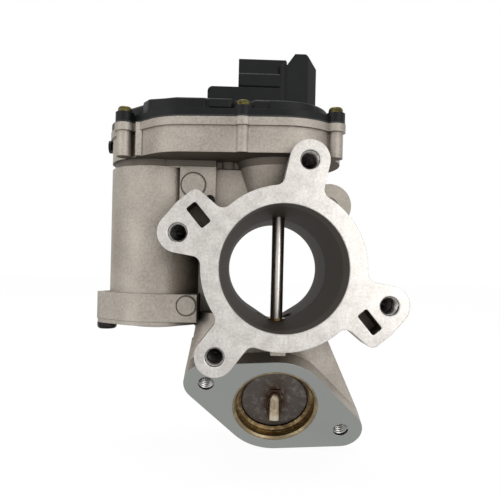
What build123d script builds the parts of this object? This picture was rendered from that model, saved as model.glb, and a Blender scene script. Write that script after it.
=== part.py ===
from build123d import *
import os
from math import acos, cos, pi, radians, sin, sqrt, tan

os.makedirs("parts", exist_ok=True)

# Frame, in millimetres: the origin is the centre of the air bore on the machined front face.
# +X is to the right as seen from the front, +Y goes into the duct, +Z is up along the flap shaft.

# Clearances between pieces
press_gap = 0.02
slip_gap = 0.05
free_gap = 0.3
wide_gap = 0.6

# Air duct
mouth_radius = 25.0
mouth_length = 12.0
outlet_radius = 22.3
duct_length = 70.0
duct_wall = 4.5
notch_depth = 26.5
notch_start = 39.0
duct_radius = mouth_radius + duct_wall

# Front flange: a ring with four bolt ears, two of which carry a slotted boss
flange_thickness = 12.0
ring_width = 7.0
ring_radius = mouth_radius + ring_width
bolt_circle_radius = 42.8
plain_ear_angles = [78.0, 233.0]
slotted_ear_angles = [162.5, 341.8]
slot_boss_angles = [149.3, 329.3]
ear_wall = 4.2
bolt_hole_radius = 3.6
bolt_hole_depth = 9.0
bolt_tip_height = 2.0
bolt_chamfer = 0.4
ear_radius = bolt_hole_radius + ear_wall
flange_fillet = 3.6
slot_circle_radius = 38.5
slot_length = 9.7
slot_width = 4.6
slot_depth = 10.0
slot_wall = 4.1
slot_lean = 160.7
slot_corner = 0.8

# Rear flange
rear_flange_thickness = 9.0
rear_ring_width = 4.0
rear_ring_radius = duct_radius + rear_ring_width
rear_ear_angles = [49.5, 229.5]
rear_ear_radius = 11.0
rear_hole_radius = 4.2
rear_bolt_radius = 42.3
rear_fillet = 6.0
o_ring_groove_depth = 1.5
o_ring_groove_width = 2.2

# Flap shaft
shaft_y = 35.0
shaft_radius = 2.75
shaft_below_flap = 9.3

# Gas port: its axis leans forward and down
flap_z = -58.4
port_tilt = 25.0
flap_radius = 14.5
flap_thickness = 2.0
flap_depth = 6.0
flap_weld_radius = 4.2
flap_weld_height = 0.4
flap_travel = 80.0
seat_lip_radius = flap_radius + free_gap + slip_gap
seat_ledge_width = 1.15
seat_step_width = 1.3
seat_ring_wall = 1.5
seat_ledge_radius = seat_lip_radius + seat_ledge_width
seat_wall_radius = seat_ledge_radius + seat_step_width
seat_ring_radius = seat_wall_radius + seat_ring_wall
seat_ring_depth = 9.0
seat_ledge_depth = 3.6
seat_lip_depth = 4.5
seat_chamfer = 0.8
gas_flange_thickness = 8.0
gas_flange_wall = 5.0
gas_flange_radius = seat_ring_radius + gas_flange_wall
gas_bolt_span = 65.2
gas_bolt_slope = -22.0
gas_tap_radius = 3.4
gas_tap_depth = 10.0
gas_lobe_wall = 6.3
gas_lobe_radius = gas_tap_radius + gas_lobe_wall

# Gas passage behind the shaft boss
gas_wall = 4.0
chamber_gap = 0.8
chamber_radius = flap_radius + chamber_gap
riser_radius = 8.5
riser_y = 50.0
riser_bottom = flap_z

# Lower bush
bush_wall = 1.4
bush_length = 15.0
bush_collar = 0.5
bush_boss_wall = 3.6
bush_radius = shaft_radius + bush_wall
bush_boss_radius = bush_radius + bush_boss_wall

# Upper bearing and seal, in a boss that carries the return spring
bearing_radius = 5.5
bearing_length = 13.0
seal_length = 4.0
seal_lip = 1.2
boss_wall = 2.1
boss_radius = bearing_radius + boss_wall
spring_wire_radius = 0.65
spring_turns = 5.5
sleeve_wall = 1.4

# Gear train
module = 1.0
pressure_angle = 25.0
addendum = 0.78 * module
dedendum = 1.12 * module
backlash = 0.26
sector_size = 46
sector_teeth_before = 12
sector_teeth_after = 1
idler_small_teeth = 12
idler_large_teeth = 44
motor_teeth = 11
idler_bearing_angle = 170.0
motor_bearing_angle = 167.5
sector_width = 4.8
sector_hub_radius = 8.5
sector_hub_step = 1.1
drive_plate_radius = 5.6
drive_plate_thickness = 1.2
drive_arm_length = 17.0
drive_arm_width = 5.0
stud_radius = 1.9
nut_radius = 3.3
nut_height = 2.2
stud_end = 0.4
magnet_radius = 5.2
magnet_wall = 1.5
magnet_height = 6.0
wheel_width = 3.5
idler_hub_radius = 4.0
idler_pin_radius = 2.0
idler_pin_depth = 7.0
idler_boss_wall = 2.0


def polar(radius, angle):
    """A point in the plane from a radius and an angle in degrees."""
    return radius * cos(radians(angle)), radius * sin(radians(angle))


sector_pitch_radius = module * sector_size / 2
idler_small_radius = module * idler_small_teeth / 2
idler_large_radius = module * idler_large_teeth / 2
motor_pitch_radius = module * motor_teeth / 2
sector_tip_radius = sector_pitch_radius + addendum
wheel_tip_radius = idler_large_radius + addendum
shaft_to_idler = sector_pitch_radius + idler_small_radius
idler_to_motor = idler_large_radius + motor_pitch_radius
idler_dx, idler_dy = polar(shaft_to_idler, idler_bearing_angle)
idler_x = idler_dx
idler_y = shaft_y + idler_dy
motor_dx, motor_dy = polar(idler_to_motor, motor_bearing_angle)
motor_x = idler_x + motor_dx
motor_y = idler_y + motor_dy

# Motor
motor_radius = 18.0
motor_length = 59.0
motor_can_wall = 1.2
motor_boss_radius = 6.0
motor_boss_height = 3.5
motor_shaft_radius = 1.6
magnet_thickness = 2.6
magnet_angle = 140.0
air_gap = 0.6
core_length = 26.0
winding_height = 5.0
commutator_radius = 4.6
commutator_length = 8.0
motor_bearing_radius = 4.0
motor_bearing_height = 3.0
magnet_overhang = 3.0
winding_gap = 2.0
winding_inner_radius = 5.0
winding_inset = 1.0
pole_count = 5
pole_slot_radius = 3.4
pole_slot_circle = 9.0
pole_slot_mouth = 1.6
end_cap_thickness = 2.0
end_cap_spigot = 3.0
rear_bush_radius = 3.2
rear_bush_height = 3.5
brush_width = 4.0
brush_height = 5.0
brush_length = 6.0
brush_box_wall = 1.2
brush_lift = 3.0
brush_reach = 1.0
brush_spring_room = 2.0
washer_edge = 1.5
washer_inner_radius = 11.0
washer_thickness = 0.8

# Motor housing in the body
motor_housing_wall = 3.0
motor_bore_radius = motor_radius + free_gap
motor_housing_radius = motor_bore_radius + motor_housing_wall
motor_housing_bottom = -24.0
motor_flange_height = 12.0
motor_flange_overhang = 1.0
motor_screw_circle = 22.3
motor_screw_angles = [200.0, 20.0]
motor_screw_ear_radius = 4.5
motor_screw_radius = 1.75
motor_screw_head_radius = 4.3
motor_screw_head_height = 2.8
motor_screw_length = 12.0
motor_cover_thickness = 1.8
motor_cover_room = 8.0
motor_dome_height = 1.6
motor_seat_height = 40.5
seal_offset = 1.15
seal_ring_width = 1.0
seal_ring_depth = 1.0
motor_dome_step = 0.5
motor_dome_slope = 6.0

# Gear case
case_bottom = 46.0
case_floor = 3.0
case_top = 60.0
case_wall = 3.0
rim_height = 3.3
rim_overhang = 1.0
case_sector_radius = 27.5
case_nose_radius = 22.0
case_nose = (-40.0, 32.0)
case_motor_radius = 22.4
case_screw_spots = [
    (-67.3, 24.4),
    (-17.0, 11.5),
    (21.4, 17.2),
    (19.0, 57.0),
    (-16.0, 66.0),
    (-69.0, 64.5),
]
case_boss_radius = 4.2
case_screw_radius = 2.0
case_screw_length = 13.0
case_screw_head_radius = 3.0
case_screw_head_height = 2.4
spring_pocket_bottom = 41.0
case_floor_top = case_bottom + case_floor
tower_foot_radius = 14.0
tower_head_radius = 20.0
tower_foot = 27.0

# Cast neck between the duct and the gas flange, seen from above
neck_top = -20.0
neck_left = (-25.0, -4.0)
neck_left_radius = 11.0
neck_middle_radius = 18.0
neck_right = (9.0, 1.0)
neck_right_radius = 9.0

# Cast web, bosses, pads and ribs
web_front = 38.0
web_back = 57.0
web_bottom = -20.0
side_boss_left = -43.4
side_boss_right = -28.0
side_boss_front = 24.8
side_boss_bottom = 8.0
side_pad = (-37.6, 35.0)
side_pad_radius = 4.9
pad_height = 0.7
pad_groove_width = 0.6
pad_groove_depth = 0.5
shoulder_top = 43.0
shoulder_step = 1.4
pillar_x = -23.0
pillar_y = 33.0
pillar_radius = 4.6
flange_block_right = -35.0
flange_block_front = 24.6
flange_pad = (-39.4, -16.8)
flange_pad_radius = 3.9
rib_x = -1.3
rib_width = 6.0
rib_bottom = -34.0
rib_front = 5.0
case_rib_x = -60.5
case_rib_width = 2.6
case_rib_front = 20.5

# Breather plug and the small screw beside the flange
vent_height = 55.0
vent_radius = 1.6
vent_head_radius = 2.9
vent_head_height = 1.2
body_screw_spot = (-30.4, 28.6)
body_screw_radius = 1.5
body_screw_head_radius = 2.2
body_screw_head_height = 1.6
body_screw_length = 8.0

# Gear cover
gasket_thickness = 0.8
cover_base = 2.6
cover_inset = 3.5
cover_wall = 2.2
cover_height = 9.0
cover_edge = 1.6
cover_recess_radius = 5.0
cover_sector_radius = 24.5
cover_screw_pad = 1.2

# Connector on the cover
tower_left = 1.2
tower_right = 14.5
tower_front = 25.0
tower_depth = 22.6
tower_height = 23.5
tower_wall = 2.0
tower_corner = 4.0
socket_left = -19.4
socket_height = 6.6
socket_key_height = 6.2
socket_wall = 1.5
socket_back = 3.0
socket_key_width = 17.0
connector_base_left = -32.6
connector_base_height = 9.0
connector_base_round = 2.2
tower_slope = 5.0
tower_left_slope = 3.6
tower_cap = 4.0
base_setback = 1.0
terminal_count = 6
terminal_pitch = 3.0
terminal_width = 1.5
terminal_thickness = 0.6
terminal_reach = 8.0
terminal_leg_gap = 3.0

# Position sensor under the cover
board_thickness = 1.4
board_gap = 0.7
board_left = -9.0
board_right = 12.5
board_depth = 21.0
board_corner = 1.0
board_peg_radius = 1.5
board_peg_inset = 2.0
board_peg_pitch = 13.0
chip_size = 5.0
chip_height = 0.9

# Heights of what turns in the gear case
sector_hub_bottom = case_floor_top + free_gap
sector_bottom = sector_hub_bottom + sector_hub_step
sector_top = sector_bottom + sector_width
plate_top = sector_top + drive_plate_thickness
wheel_bottom = plate_top + free_gap
wheel_top = wheel_bottom + wheel_width
pinion_bottom = wheel_bottom - wide_gap
idler_hub_bottom = case_floor_top + free_gap
idler_hub_top = wheel_top + wide_gap
cover_bottom = case_top + gasket_thickness
cover_top = case_top + cover_height
cover_ceiling = cover_top - cover_wall
tower_top = cover_top + tower_height
connector_base_top = cover_top + connector_base_height
socket_bottom = connector_base_top
socket_split = socket_bottom + socket_height
socket_top = socket_split + socket_key_height

front_plane = Plane.XZ
port_axis = Vector(0, -cos(radians(port_tilt)), -sin(radians(port_tilt)))
flap_centre = Vector(0, shaft_y, flap_z)
port_plane = Plane(
    origin=flap_centre + port_axis * flap_depth,
    x_dir=(1, 0, 0),
    z_dir=port_axis,
)


def duct_plane(y):
    """A plane across the duct, y millimetres behind the front face, facing the front."""
    return Plane.XZ.offset(-y)


def level(z):
    """A horizontal plane at height z."""
    return Plane.XY.offset(z)


def bore_radius_at(y):
    """Radius of the tapered air bore y millimetres behind the front face."""
    taper = (y - mouth_length) / (notch_start - mouth_length)
    return mouth_radius + (outlet_radius - mouth_radius) * min(max(taper, 0), 1)


def gear_outline(teeth, first_angle, first_tooth=0, last_tooth=None):
    """Edges of a row of involute teeth, from the first tooth's root to the last tooth's.

    Tooth number 0 is centred on first_angle, and the numbers rise counter-clockwise.
    """
    pitch_radius = module * teeth / 2
    base_radius = pitch_radius * cos(radians(pressure_angle))
    tip_radius = pitch_radius + addendum
    root_radius = pitch_radius - dedendum
    flank_start = max(base_radius, root_radius)
    pitch_half_angle = (pi * module / 2 - backlash / 2) / (2 * pitch_radius)
    tooth_step = 360 / teeth

    def involute(angle):
        return tan(angle) - angle

    def half_angle(radius):
        roll = acos(min(base_radius / radius, 1))
        turned = involute(radians(pressure_angle)) - involute(roll)
        return (pitch_half_angle + turned) * 180 / pi

    last = teeth - 1 if last_tooth is None else last_tooth
    flank_middle = (flank_start + tip_radius) / 2
    foot_angle = half_angle(flank_start)
    for tooth in range(first_tooth, last + 1):
        centre = first_angle + tooth * tooth_step
        if flank_start > root_radius:
            Line(
                polar(root_radius, centre - foot_angle),
                polar(flank_start, centre - foot_angle),
            )
        ThreePointArc(
            polar(flank_start, centre - foot_angle),
            polar(flank_middle, centre - half_angle(flank_middle)),
            polar(tip_radius, centre - half_angle(tip_radius)),
        )
        Line(
            polar(tip_radius, centre - half_angle(tip_radius)),
            polar(tip_radius, centre + half_angle(tip_radius)),
        )
        ThreePointArc(
            polar(tip_radius, centre + half_angle(tip_radius)),
            polar(flank_middle, centre + half_angle(flank_middle)),
            polar(flank_start, centre + foot_angle),
        )
        if flank_start > root_radius:
            Line(
                polar(flank_start, centre + foot_angle),
                polar(root_radius, centre + foot_angle),
            )
        if tooth < last or last_tooth is None:
            Line(
                polar(root_radius, centre + foot_angle),
                polar(root_radius, centre + tooth_step - foot_angle),
            )
    return root_radius, first_angle + first_tooth * tooth_step - foot_angle


def gear_sketch(teeth, first_angle):
    """A whole gear seen along its axis, with one tooth centred on first_angle."""
    with BuildSketch() as sketch:
        with BuildLine():
            gear_outline(teeth, first_angle)
        make_face()
    return sketch.sketch


def sector_sketch():
    """The toothed sector seen along its axis, closed by two straight sides at its centre."""
    with BuildSketch() as sketch:
        with BuildLine():
            root_radius, start_angle = gear_outline(
                sector_size, idler_bearing_angle, -sector_teeth_before, sector_teeth_after
            )
            end_angle = (
                2 * idler_bearing_angle
                - start_angle
                - (sector_teeth_before - sector_teeth_after) * 360 / sector_size
            )
            Polyline(polar(root_radius, end_angle), (0, 0), polar(root_radius, start_angle))
        make_face()
        Circle(sector_hub_radius)
    return sketch.sketch


def case_plan(inset, screw_wall=None, sector_radius=case_sector_radius):
    """Plan of the gear case drawn inset millimetres inside its outer wall.

    With screw_wall given, a round of that radius is kept free at each screw.
    """
    with BuildSketch() as plan:
        with Locations((0, shaft_y)):
            Circle(sector_radius - inset)
        with Locations(case_nose):
            Circle(case_nose_radius - inset)
        with Locations((motor_x, motor_y)):
            Circle(case_motor_radius - inset)
        make_hull()
        if screw_wall:
            with Locations(*case_screw_spots):
                Circle(screw_wall, mode=Mode.SUBTRACT)
    return plan.sketch


def case_outline(boss_radius, inset=0.0):
    """Plan of the rim: the case with a round ear at each screw."""
    with BuildSketch() as plan:
        add(case_plan(inset))
        with Locations(*case_screw_spots):
            Circle(boss_radius)
    return plan.sketch


def gear_rooms():
    """Plan of the rooms that the sector and the large wheel turn in."""
    with BuildSketch() as rooms:
        with Locations((0, shaft_y)):
            Circle(sector_tip_radius + wide_gap)
        with Locations((idler_x, idler_y)):
            Circle(wheel_tip_radius + wide_gap)
    return rooms.sketch


def motor_flange_sketch(z, inset=0.0):
    """Plan of the motor housing's lower flange: a round with two screw ears."""
    with BuildSketch(level(z)) as plan:
        with Locations((motor_x, motor_y)):
            Circle(motor_housing_radius + motor_flange_overhang - inset)
            for angle in motor_screw_angles:
                with PolarLocations(motor_screw_circle, 1, start_angle=angle):
                    Circle(motor_screw_ear_radius - inset)
        make_hull()
    return plan.sketch


def motor_screw_sketch(z, radius):
    """Two rounds where the motor cover's screws stand."""
    with BuildSketch(level(z)) as plan:
        with Locations((motor_x, motor_y)):
            for angle in motor_screw_angles:
                with PolarLocations(motor_screw_circle, 1, start_angle=angle):
                    Circle(radius)
    return plan.sketch


def case_screw_sketch(z, radius):
    """Six rounds where the gear cover's screws stand."""
    with BuildSketch(level(z)) as plan:
        with Locations(*case_screw_spots):
            Circle(radius)
    return plan.sketch


# Front flange outline
with BuildSketch(front_plane) as flange_outline:
    Circle(ring_radius)
    for angle in plain_ear_angles:
        with PolarLocations(0, 1, start_angle=angle):
            with Locations((bolt_circle_radius / 2, 0)):
                Rectangle(bolt_circle_radius, 2 * ear_radius)
            with Locations((bolt_circle_radius, 0)):
                Circle(ear_radius)
    for ear_angle, boss_angle in zip(slotted_ear_angles, slot_boss_angles):
        with BuildSketch(mode=Mode.PRIVATE) as slotted_ear:
            with Locations(polar(bolt_circle_radius, ear_angle)):
                Circle(ear_radius)
            with Locations(Location(polar(slot_circle_radius, boss_angle), boss_angle + slot_lean)):
                RectangleRounded(
                    slot_length + 2 * slot_wall, slot_width + 2 * slot_wall, slot_wall - slot_corner
                )
            with Locations(polar(ring_radius - ear_radius, (ear_angle + boss_angle) / 2)):
                Circle(ear_radius)
            make_hull()
        add(slotted_ear.sketch)
    ring_corners = flange_outline.vertices().filter_by(
        lambda corner: abs(Vector(corner.X, corner.Y, corner.Z).length - ring_radius) < 0.01
    )
    fillet(ring_corners, flange_fillet)


# Rear flange outline: a ring with two ears
with BuildSketch(duct_plane(duct_length)) as rear_outline:
    Circle(rear_ring_radius)
    for angle in rear_ear_angles:
        with PolarLocations(0, 1, start_angle=angle):
            with Locations((rear_bolt_radius / 2, 0)):
                Rectangle(rear_bolt_radius, 2 * rear_ear_radius)
            with Locations((rear_bolt_radius, 0)):
                Circle(rear_ear_radius)
    rear_corners = rear_outline.vertices().filter_by(
        lambda corner: abs(sqrt(corner.X**2 + corner.Z**2) - rear_ring_radius) < 0.01
    )
    fillet(rear_corners, rear_fillet)


def gas_bolt_spots():
    """The two bolt holes of the gas flange, in the port plane."""
    return [polar(gas_bolt_span / 2, gas_bolt_slope + turn) for turn in (0, 180)]


def gas_flange_sketch(depth):
    """Outline of the gas flange, depth millimetres behind its face."""
    with BuildSketch(port_plane.offset(-depth)) as outline:
        Circle(gas_flange_radius)
        with Locations(*gas_bolt_spots()):
            Circle(gas_lobe_radius)
        make_hull()
    return outline.sketch


# Valve body
neck_plane = Plane(origin=(0, shaft_y, neck_top), x_dir=(1, 0, 0), z_dir=(0, 0, -1))
bush_top = -bore_radius_at(shaft_y) + bush_collar
bush_bottom = bush_top - bush_length
bearing_top = case_floor_top
bearing_bottom = bearing_top - bearing_length
seal_bottom = bearing_bottom - seal_length
sleeve_inner_radius = boss_radius + free_gap / 2
sleeve_outer_radius = sleeve_inner_radius + sleeve_wall
spring_mean_radius = sleeve_outer_radius + free_gap + spring_wire_radius
spring_pocket_radius = spring_mean_radius + spring_wire_radius + wide_gap

with BuildPart() as body:
    # Air duct with its two flanges
    with BuildSketch(front_plane):
        Circle(duct_radius)
    extrude(amount=-duct_length)
    extrude(flange_outline.sketch, amount=-flange_thickness)
    extrude(rear_outline.sketch, amount=rear_flange_thickness)

    # Motor housing, its lower flange with two screw ears, and the web to the duct
    with BuildSketch(level(motor_housing_bottom)):
        with Locations((motor_x, motor_y)):
            Circle(motor_housing_radius)
    extrude(amount=shoulder_top - motor_housing_bottom)
    with BuildSketch(level(shoulder_top)):
        with Locations((motor_x, motor_y)):
            Circle(motor_housing_radius - shoulder_step)
    extrude(amount=case_bottom - shoulder_top)
    extrude(motor_flange_sketch(motor_housing_bottom), amount=motor_flange_height)
    with BuildSketch(level(motor_housing_bottom)):
        with Locations((flange_block_right, flange_block_front)):
            Rectangle(
                flange_block_right - motor_x, motor_y - flange_block_front, align=(Align.MAX, Align.MIN)
            )
    extrude(amount=motor_flange_height)
    with BuildSketch(level(web_bottom)):
        with Locations((motor_x, web_front)):
            Rectangle(-motor_x, web_back - web_front, align=Align.MIN)
    extrude(amount=case_bottom - web_bottom)

    # Boss with a round pad beside the motor, and the pillar under the gear case
    with BuildSketch(level(side_boss_bottom)):
        with Locations((side_boss_left, side_boss_front)):
            Rectangle(side_boss_right - side_boss_left, motor_y - side_boss_front, align=Align.MIN)
    extrude(amount=shoulder_top - side_boss_bottom)
    for y, spot, radius in (
        (side_boss_front, side_pad, side_pad_radius),
        (flange_block_front, flange_pad, flange_pad_radius),
    ):
        with BuildSketch(duct_plane(y)):
            with Locations(spot):
                Circle(radius)
        extrude(amount=pad_height)
        with BuildSketch(duct_plane(y)):
            with Locations(spot):
                Circle(radius + pad_groove_width)
                Circle(radius, mode=Mode.SUBTRACT)
        extrude(amount=-pad_groove_depth, mode=Mode.SUBTRACT)
    with BuildSketch(level(0)):
        with Locations((pillar_x, pillar_y)):
            Circle(pillar_radius)
    extrude(amount=case_bottom)

    # Bearing tower between the duct and the gear case
    with BuildSketch(level(0)):
        with Locations((0, shaft_y)):
            Circle(tower_foot_radius)
    with BuildSketch(level(tower_foot)):
        with Locations((0, shaft_y)):
            Circle(tower_foot_radius)
    loft()
    with BuildSketch(level(tower_foot)):
        with Locations((0, shaft_y)):
            Circle(tower_foot_radius)
    with BuildSketch(level(case_bottom)):
        with Locations((0, shaft_y)):
            Circle(tower_head_radius)
    loft()

    # Gear case
    with BuildSketch(level(case_bottom)):
        add(case_outline(case_boss_radius - rim_overhang, rim_overhang))
    extrude(amount=case_top - case_bottom)
    with BuildSketch(level(case_top)):
        add(case_outline(case_boss_radius))
    extrude(amount=-rim_height)
    with BuildSketch(level(case_bottom)):
        with Locations((case_rib_x, case_rib_front)):
            Rectangle(case_rib_width, motor_y - case_rib_front, align=(Align.CENTER, Align.MIN))
    extrude(amount=case_top - case_bottom)

    # Gas elbow: a neck from the duct to the tilted flange, with a bulb behind the disc
    with BuildSketch(neck_plane, mode=Mode.PRIVATE) as neck_section:
        Circle(neck_middle_radius)
        with Locations(neck_left):
            Circle(neck_left_radius)
        with Locations(neck_right):
            Circle(neck_right_radius)
        make_hull()
    loft([gas_flange_sketch(gas_flange_thickness), neck_section.sketch])
    extrude(gas_flange_sketch(0), amount=-gas_flange_thickness)
    with Locations(flap_centre):
        Sphere(chamber_radius + gas_wall)
    with BuildSketch(level(riser_bottom)):
        with Locations((0, riser_y)):
            Circle(riser_radius + gas_wall)
    extrude(amount=-riser_bottom)
    with Locations((0, riser_y, riser_bottom)):
        Sphere(riser_radius + gas_wall)
    with BuildSketch(port_plane):
        Circle(gas_flange_radius)
    extrude(amount=gas_flange_radius, mode=Mode.SUBTRACT)

    # Room for the motor cover and its screw heads beside the neck
    extrude(
        motor_flange_sketch(motor_housing_bottom, -wide_gap),
        amount=-motor_cover_room,
        mode=Mode.SUBTRACT,
    )

    # Rib under the front flange
    with BuildSketch(level(rib_bottom)):
        with Locations((rib_x, rib_front)):
            Rectangle(rib_width, shaft_y - rib_front, align=(Align.CENTER, Align.MIN))
    extrude(amount=duct_radius / 2)

    # Air bore: a straight mouth, a taper, and the gas inlet channel behind the shaft
    with BuildSketch(front_plane):
        Circle(mouth_radius)
    extrude(amount=-mouth_length, mode=Mode.SUBTRACT)
    with BuildSketch(duct_plane(mouth_length)):
        Circle(mouth_radius)
    with BuildSketch(duct_plane(notch_start)):
        Circle(outlet_radius)
    loft(mode=Mode.SUBTRACT)
    with BuildSketch(duct_plane(notch_start)):
        Circle(outlet_radius)
        notch_angle = acos(outlet_radius / notch_depth)
        with BuildLine():
            Polyline(
                (0, 0),
                (-outlet_radius * sin(notch_angle), -outlet_radius * cos(notch_angle)),
                (0, -notch_depth),
                (outlet_radius * sin(notch_angle), -outlet_radius * cos(notch_angle)),
                close=True,
            )
        make_face()
    extrude(amount=-(duct_length - notch_start), mode=Mode.SUBTRACT)

    # Gas passage: seat pocket, disc chamber and riser
    with BuildSketch(port_plane):
        Circle(seat_ring_radius + press_gap)
    extrude(amount=-seat_ring_depth, mode=Mode.SUBTRACT)
    with Locations(flap_centre):
        Sphere(chamber_radius, mode=Mode.SUBTRACT)
    with BuildSketch(level(riser_bottom)):
        with Locations((0, riser_y)):
            Circle(riser_radius)
    extrude(amount=-riser_bottom - outlet_radius / 2, mode=Mode.SUBTRACT)
    with Locations((0, riser_y, riser_bottom)):
        Sphere(riser_radius, mode=Mode.SUBTRACT)

    # Shaft boss in the duct floor, bored for the bush
    boss_top = -(bore_radius_at(shaft_y) + duct_radius) / 2
    with BuildSketch(level(boss_top)):
        with Locations((0, shaft_y)):
            Circle(bush_boss_radius)
    extrude(amount=bush_bottom - boss_top)
    with BuildSketch(level(bush_bottom)):
        with Locations((0, shaft_y)):
            Circle(bush_radius + press_gap)
    extrude(amount=bush_length + outlet_radius / 4, mode=Mode.SUBTRACT)
    with BuildSketch(level(flap_z)):
        with Locations((0, shaft_y)):
            Circle(shaft_radius + free_gap)
    extrude(amount=bush_bottom - flap_z, mode=Mode.SUBTRACT)

    # Upper shaft hole, seal and bearing bore, spring pocket round the bearing boss
    with BuildSketch(level(0)):
        with Locations((0, shaft_y)):
            Circle(shaft_radius + free_gap)
    extrude(amount=seal_bottom, mode=Mode.SUBTRACT)
    with BuildSketch(level(spring_pocket_bottom)):
        with Locations((0, shaft_y)):
            Circle(spring_pocket_radius)
            Circle(boss_radius, mode=Mode.SUBTRACT)
    extrude(amount=case_floor_top - spring_pocket_bottom, mode=Mode.SUBTRACT)

    # Gear chamber
    with BuildSketch(level(case_floor_top)):
        add(case_plan(case_wall, case_boss_radius))
        add(gear_rooms())
    extrude(amount=case_top - case_floor_top, mode=Mode.SUBTRACT)
    with BuildSketch(level(seal_bottom)):
        with Locations((0, shaft_y)):
            Circle(bearing_radius + press_gap)
    extrude(amount=bearing_top - seal_bottom, mode=Mode.SUBTRACT)

    # Motor bore, with the hole for the motor's nose above it
    with BuildSketch(level(motor_housing_bottom)):
        with Locations((motor_x, motor_y)):
            Circle(motor_bore_radius)
    extrude(amount=motor_seat_height - motor_housing_bottom, mode=Mode.SUBTRACT)
    with BuildSketch(level(motor_seat_height)):
        with Locations((motor_x, motor_y)):
            Circle(motor_boss_radius + free_gap)
    extrude(amount=case_floor_top - motor_seat_height, mode=Mode.SUBTRACT)

    # Idler pin hole
    with BuildSketch(level(case_floor_top)):
        with Locations((idler_x, idler_y)):
            Circle(idler_pin_radius + press_gap)
    extrude(amount=-idler_pin_depth, mode=Mode.SUBTRACT)

    # Cover screw holes, motor cover screw holes, vent and small screw hole
    extrude(
        case_screw_sketch(case_top, case_screw_radius), amount=-case_screw_length, mode=Mode.SUBTRACT
    )
    extrude(
        motor_screw_sketch(motor_housing_bottom, motor_screw_radius),
        amount=motor_screw_length,
        mode=Mode.SUBTRACT,
    )
    with BuildSketch(Plane.YZ.offset(motor_x - case_motor_radius)):
        with Locations((motor_y, vent_height)):
            Circle(vent_radius)
    extrude(amount=case_wall, mode=Mode.SUBTRACT)
    with BuildSketch(duct_plane(side_boss_front)):
        with Locations(body_screw_spot):
            Circle(body_screw_radius + press_gap)
    extrude(amount=-body_screw_length, mode=Mode.SUBTRACT)

    # Blind bolt holes with the drill's cone, and slots, in the front flange
    for angle in plain_ear_angles + slotted_ear_angles:
        x, z = polar(bolt_circle_radius, angle)
        with BuildSketch(front_plane):
            with Locations((x, z)):
                Circle(bolt_hole_radius)
        extrude(amount=-bolt_hole_depth, mode=Mode.SUBTRACT)
        with Locations(Location((x, bolt_hole_depth + bolt_tip_height / 2, z), (-90, 0, 0))):
            Cone(bolt_hole_radius, 0, bolt_tip_height, mode=Mode.SUBTRACT)
    with BuildSketch(front_plane):
        for angle in slot_boss_angles:
            with Locations(Location(polar(slot_circle_radius, angle), angle + slot_lean)):
                RectangleRounded(slot_length, slot_width, slot_corner)
    extrude(amount=-slot_depth, mode=Mode.SUBTRACT)
    bolt_rims = (
        body.faces()
        .sort_by(Axis.Y)[0]
        .edges()
        .filter_by(GeomType.CIRCLE)
        .filter_by(lambda edge: edge.is_closed and edge.radius < mouth_radius)
    )
    chamfer(bolt_rims, bolt_chamfer)

    # Rear bolt holes and seal groove
    with BuildSketch(duct_plane(duct_length)):
        for angle in rear_ear_angles:
            with Locations(polar(rear_bolt_radius, angle)):
                Circle(rear_hole_radius)
    extrude(amount=rear_flange_thickness, mode=Mode.SUBTRACT)
    with BuildSketch(duct_plane(duct_length)):
        Circle(rear_ring_radius - o_ring_groove_width / 2)
        Circle(rear_ring_radius - 1.5 * o_ring_groove_width, mode=Mode.SUBTRACT)
    extrude(amount=o_ring_groove_depth, mode=Mode.SUBTRACT)

    # Tapped holes of the gas flange
    with BuildSketch(port_plane):
        with Locations(*gas_bolt_spots()):
            Circle(gas_tap_radius)
    extrude(amount=-gas_tap_depth, mode=Mode.SUBTRACT)

body.part.label = "valve_body"
export_step(body.part, "parts/valve_body.step")


def write(piece, name):
    """Label a finished piece and write its file."""
    piece.part.label = name
    export_step(piece.part, f"parts/{name}.step")


def column(x, y, bottom, top, radius, bore=0.0):
    """An upright round solid or tube."""
    with BuildPart() as piece:
        with BuildSketch(level(bottom)):
            with Locations((x, y)):
                Circle(radius)
                if bore:
                    Circle(bore, mode=Mode.SUBTRACT)
        extrude(amount=top - bottom)
    return piece


# Seat ring: a stepped bore turned about the port axis
with BuildPart() as seat_ring:
    with BuildSketch(Plane(origin=port_plane.origin, x_dir=(1, 0, 0), z_dir=port_plane.y_dir)):
        with BuildLine():
            Polyline(
                (seat_ring_radius, 0),
                (seat_wall_radius + seat_chamfer, 0),
                (seat_wall_radius, seat_chamfer),
                (seat_wall_radius, seat_ledge_depth),
                (seat_ledge_radius, seat_ledge_depth),
                (seat_lip_radius, seat_lip_depth),
                (seat_lip_radius, seat_ring_depth - slip_gap),
                (seat_ring_radius, seat_ring_depth - slip_gap),
                close=True,
            )
        make_face()
    revolve(axis=Axis(port_plane.origin, port_axis))
write(seat_ring, "seat_ring")

# Lower bush with a collar in the duct floor
write(column(0, shaft_y, bush_bottom, bush_top, bush_radius, shaft_radius + slip_gap), "lower_bush")

# Upper bearing over the shaft seal
write(
    column(0, shaft_y, bearing_bottom, bearing_top, bearing_radius, shaft_radius + slip_gap),
    "upper_bearing",
)
with BuildPart() as shaft_seal:
    with BuildSketch(level(seal_bottom)):
        with Locations((0, shaft_y)):
            Circle(bearing_radius)
            Circle(shaft_radius + free_gap + seal_lip, mode=Mode.SUBTRACT)
    extrude(amount=seal_length)
    with BuildSketch(level(seal_bottom)):
        with Locations((0, shaft_y)):
            Circle(bearing_radius)
            Circle(shaft_radius + slip_gap, mode=Mode.SUBTRACT)
    extrude(amount=seal_lip)
write(shaft_seal, "shaft_seal")

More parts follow.
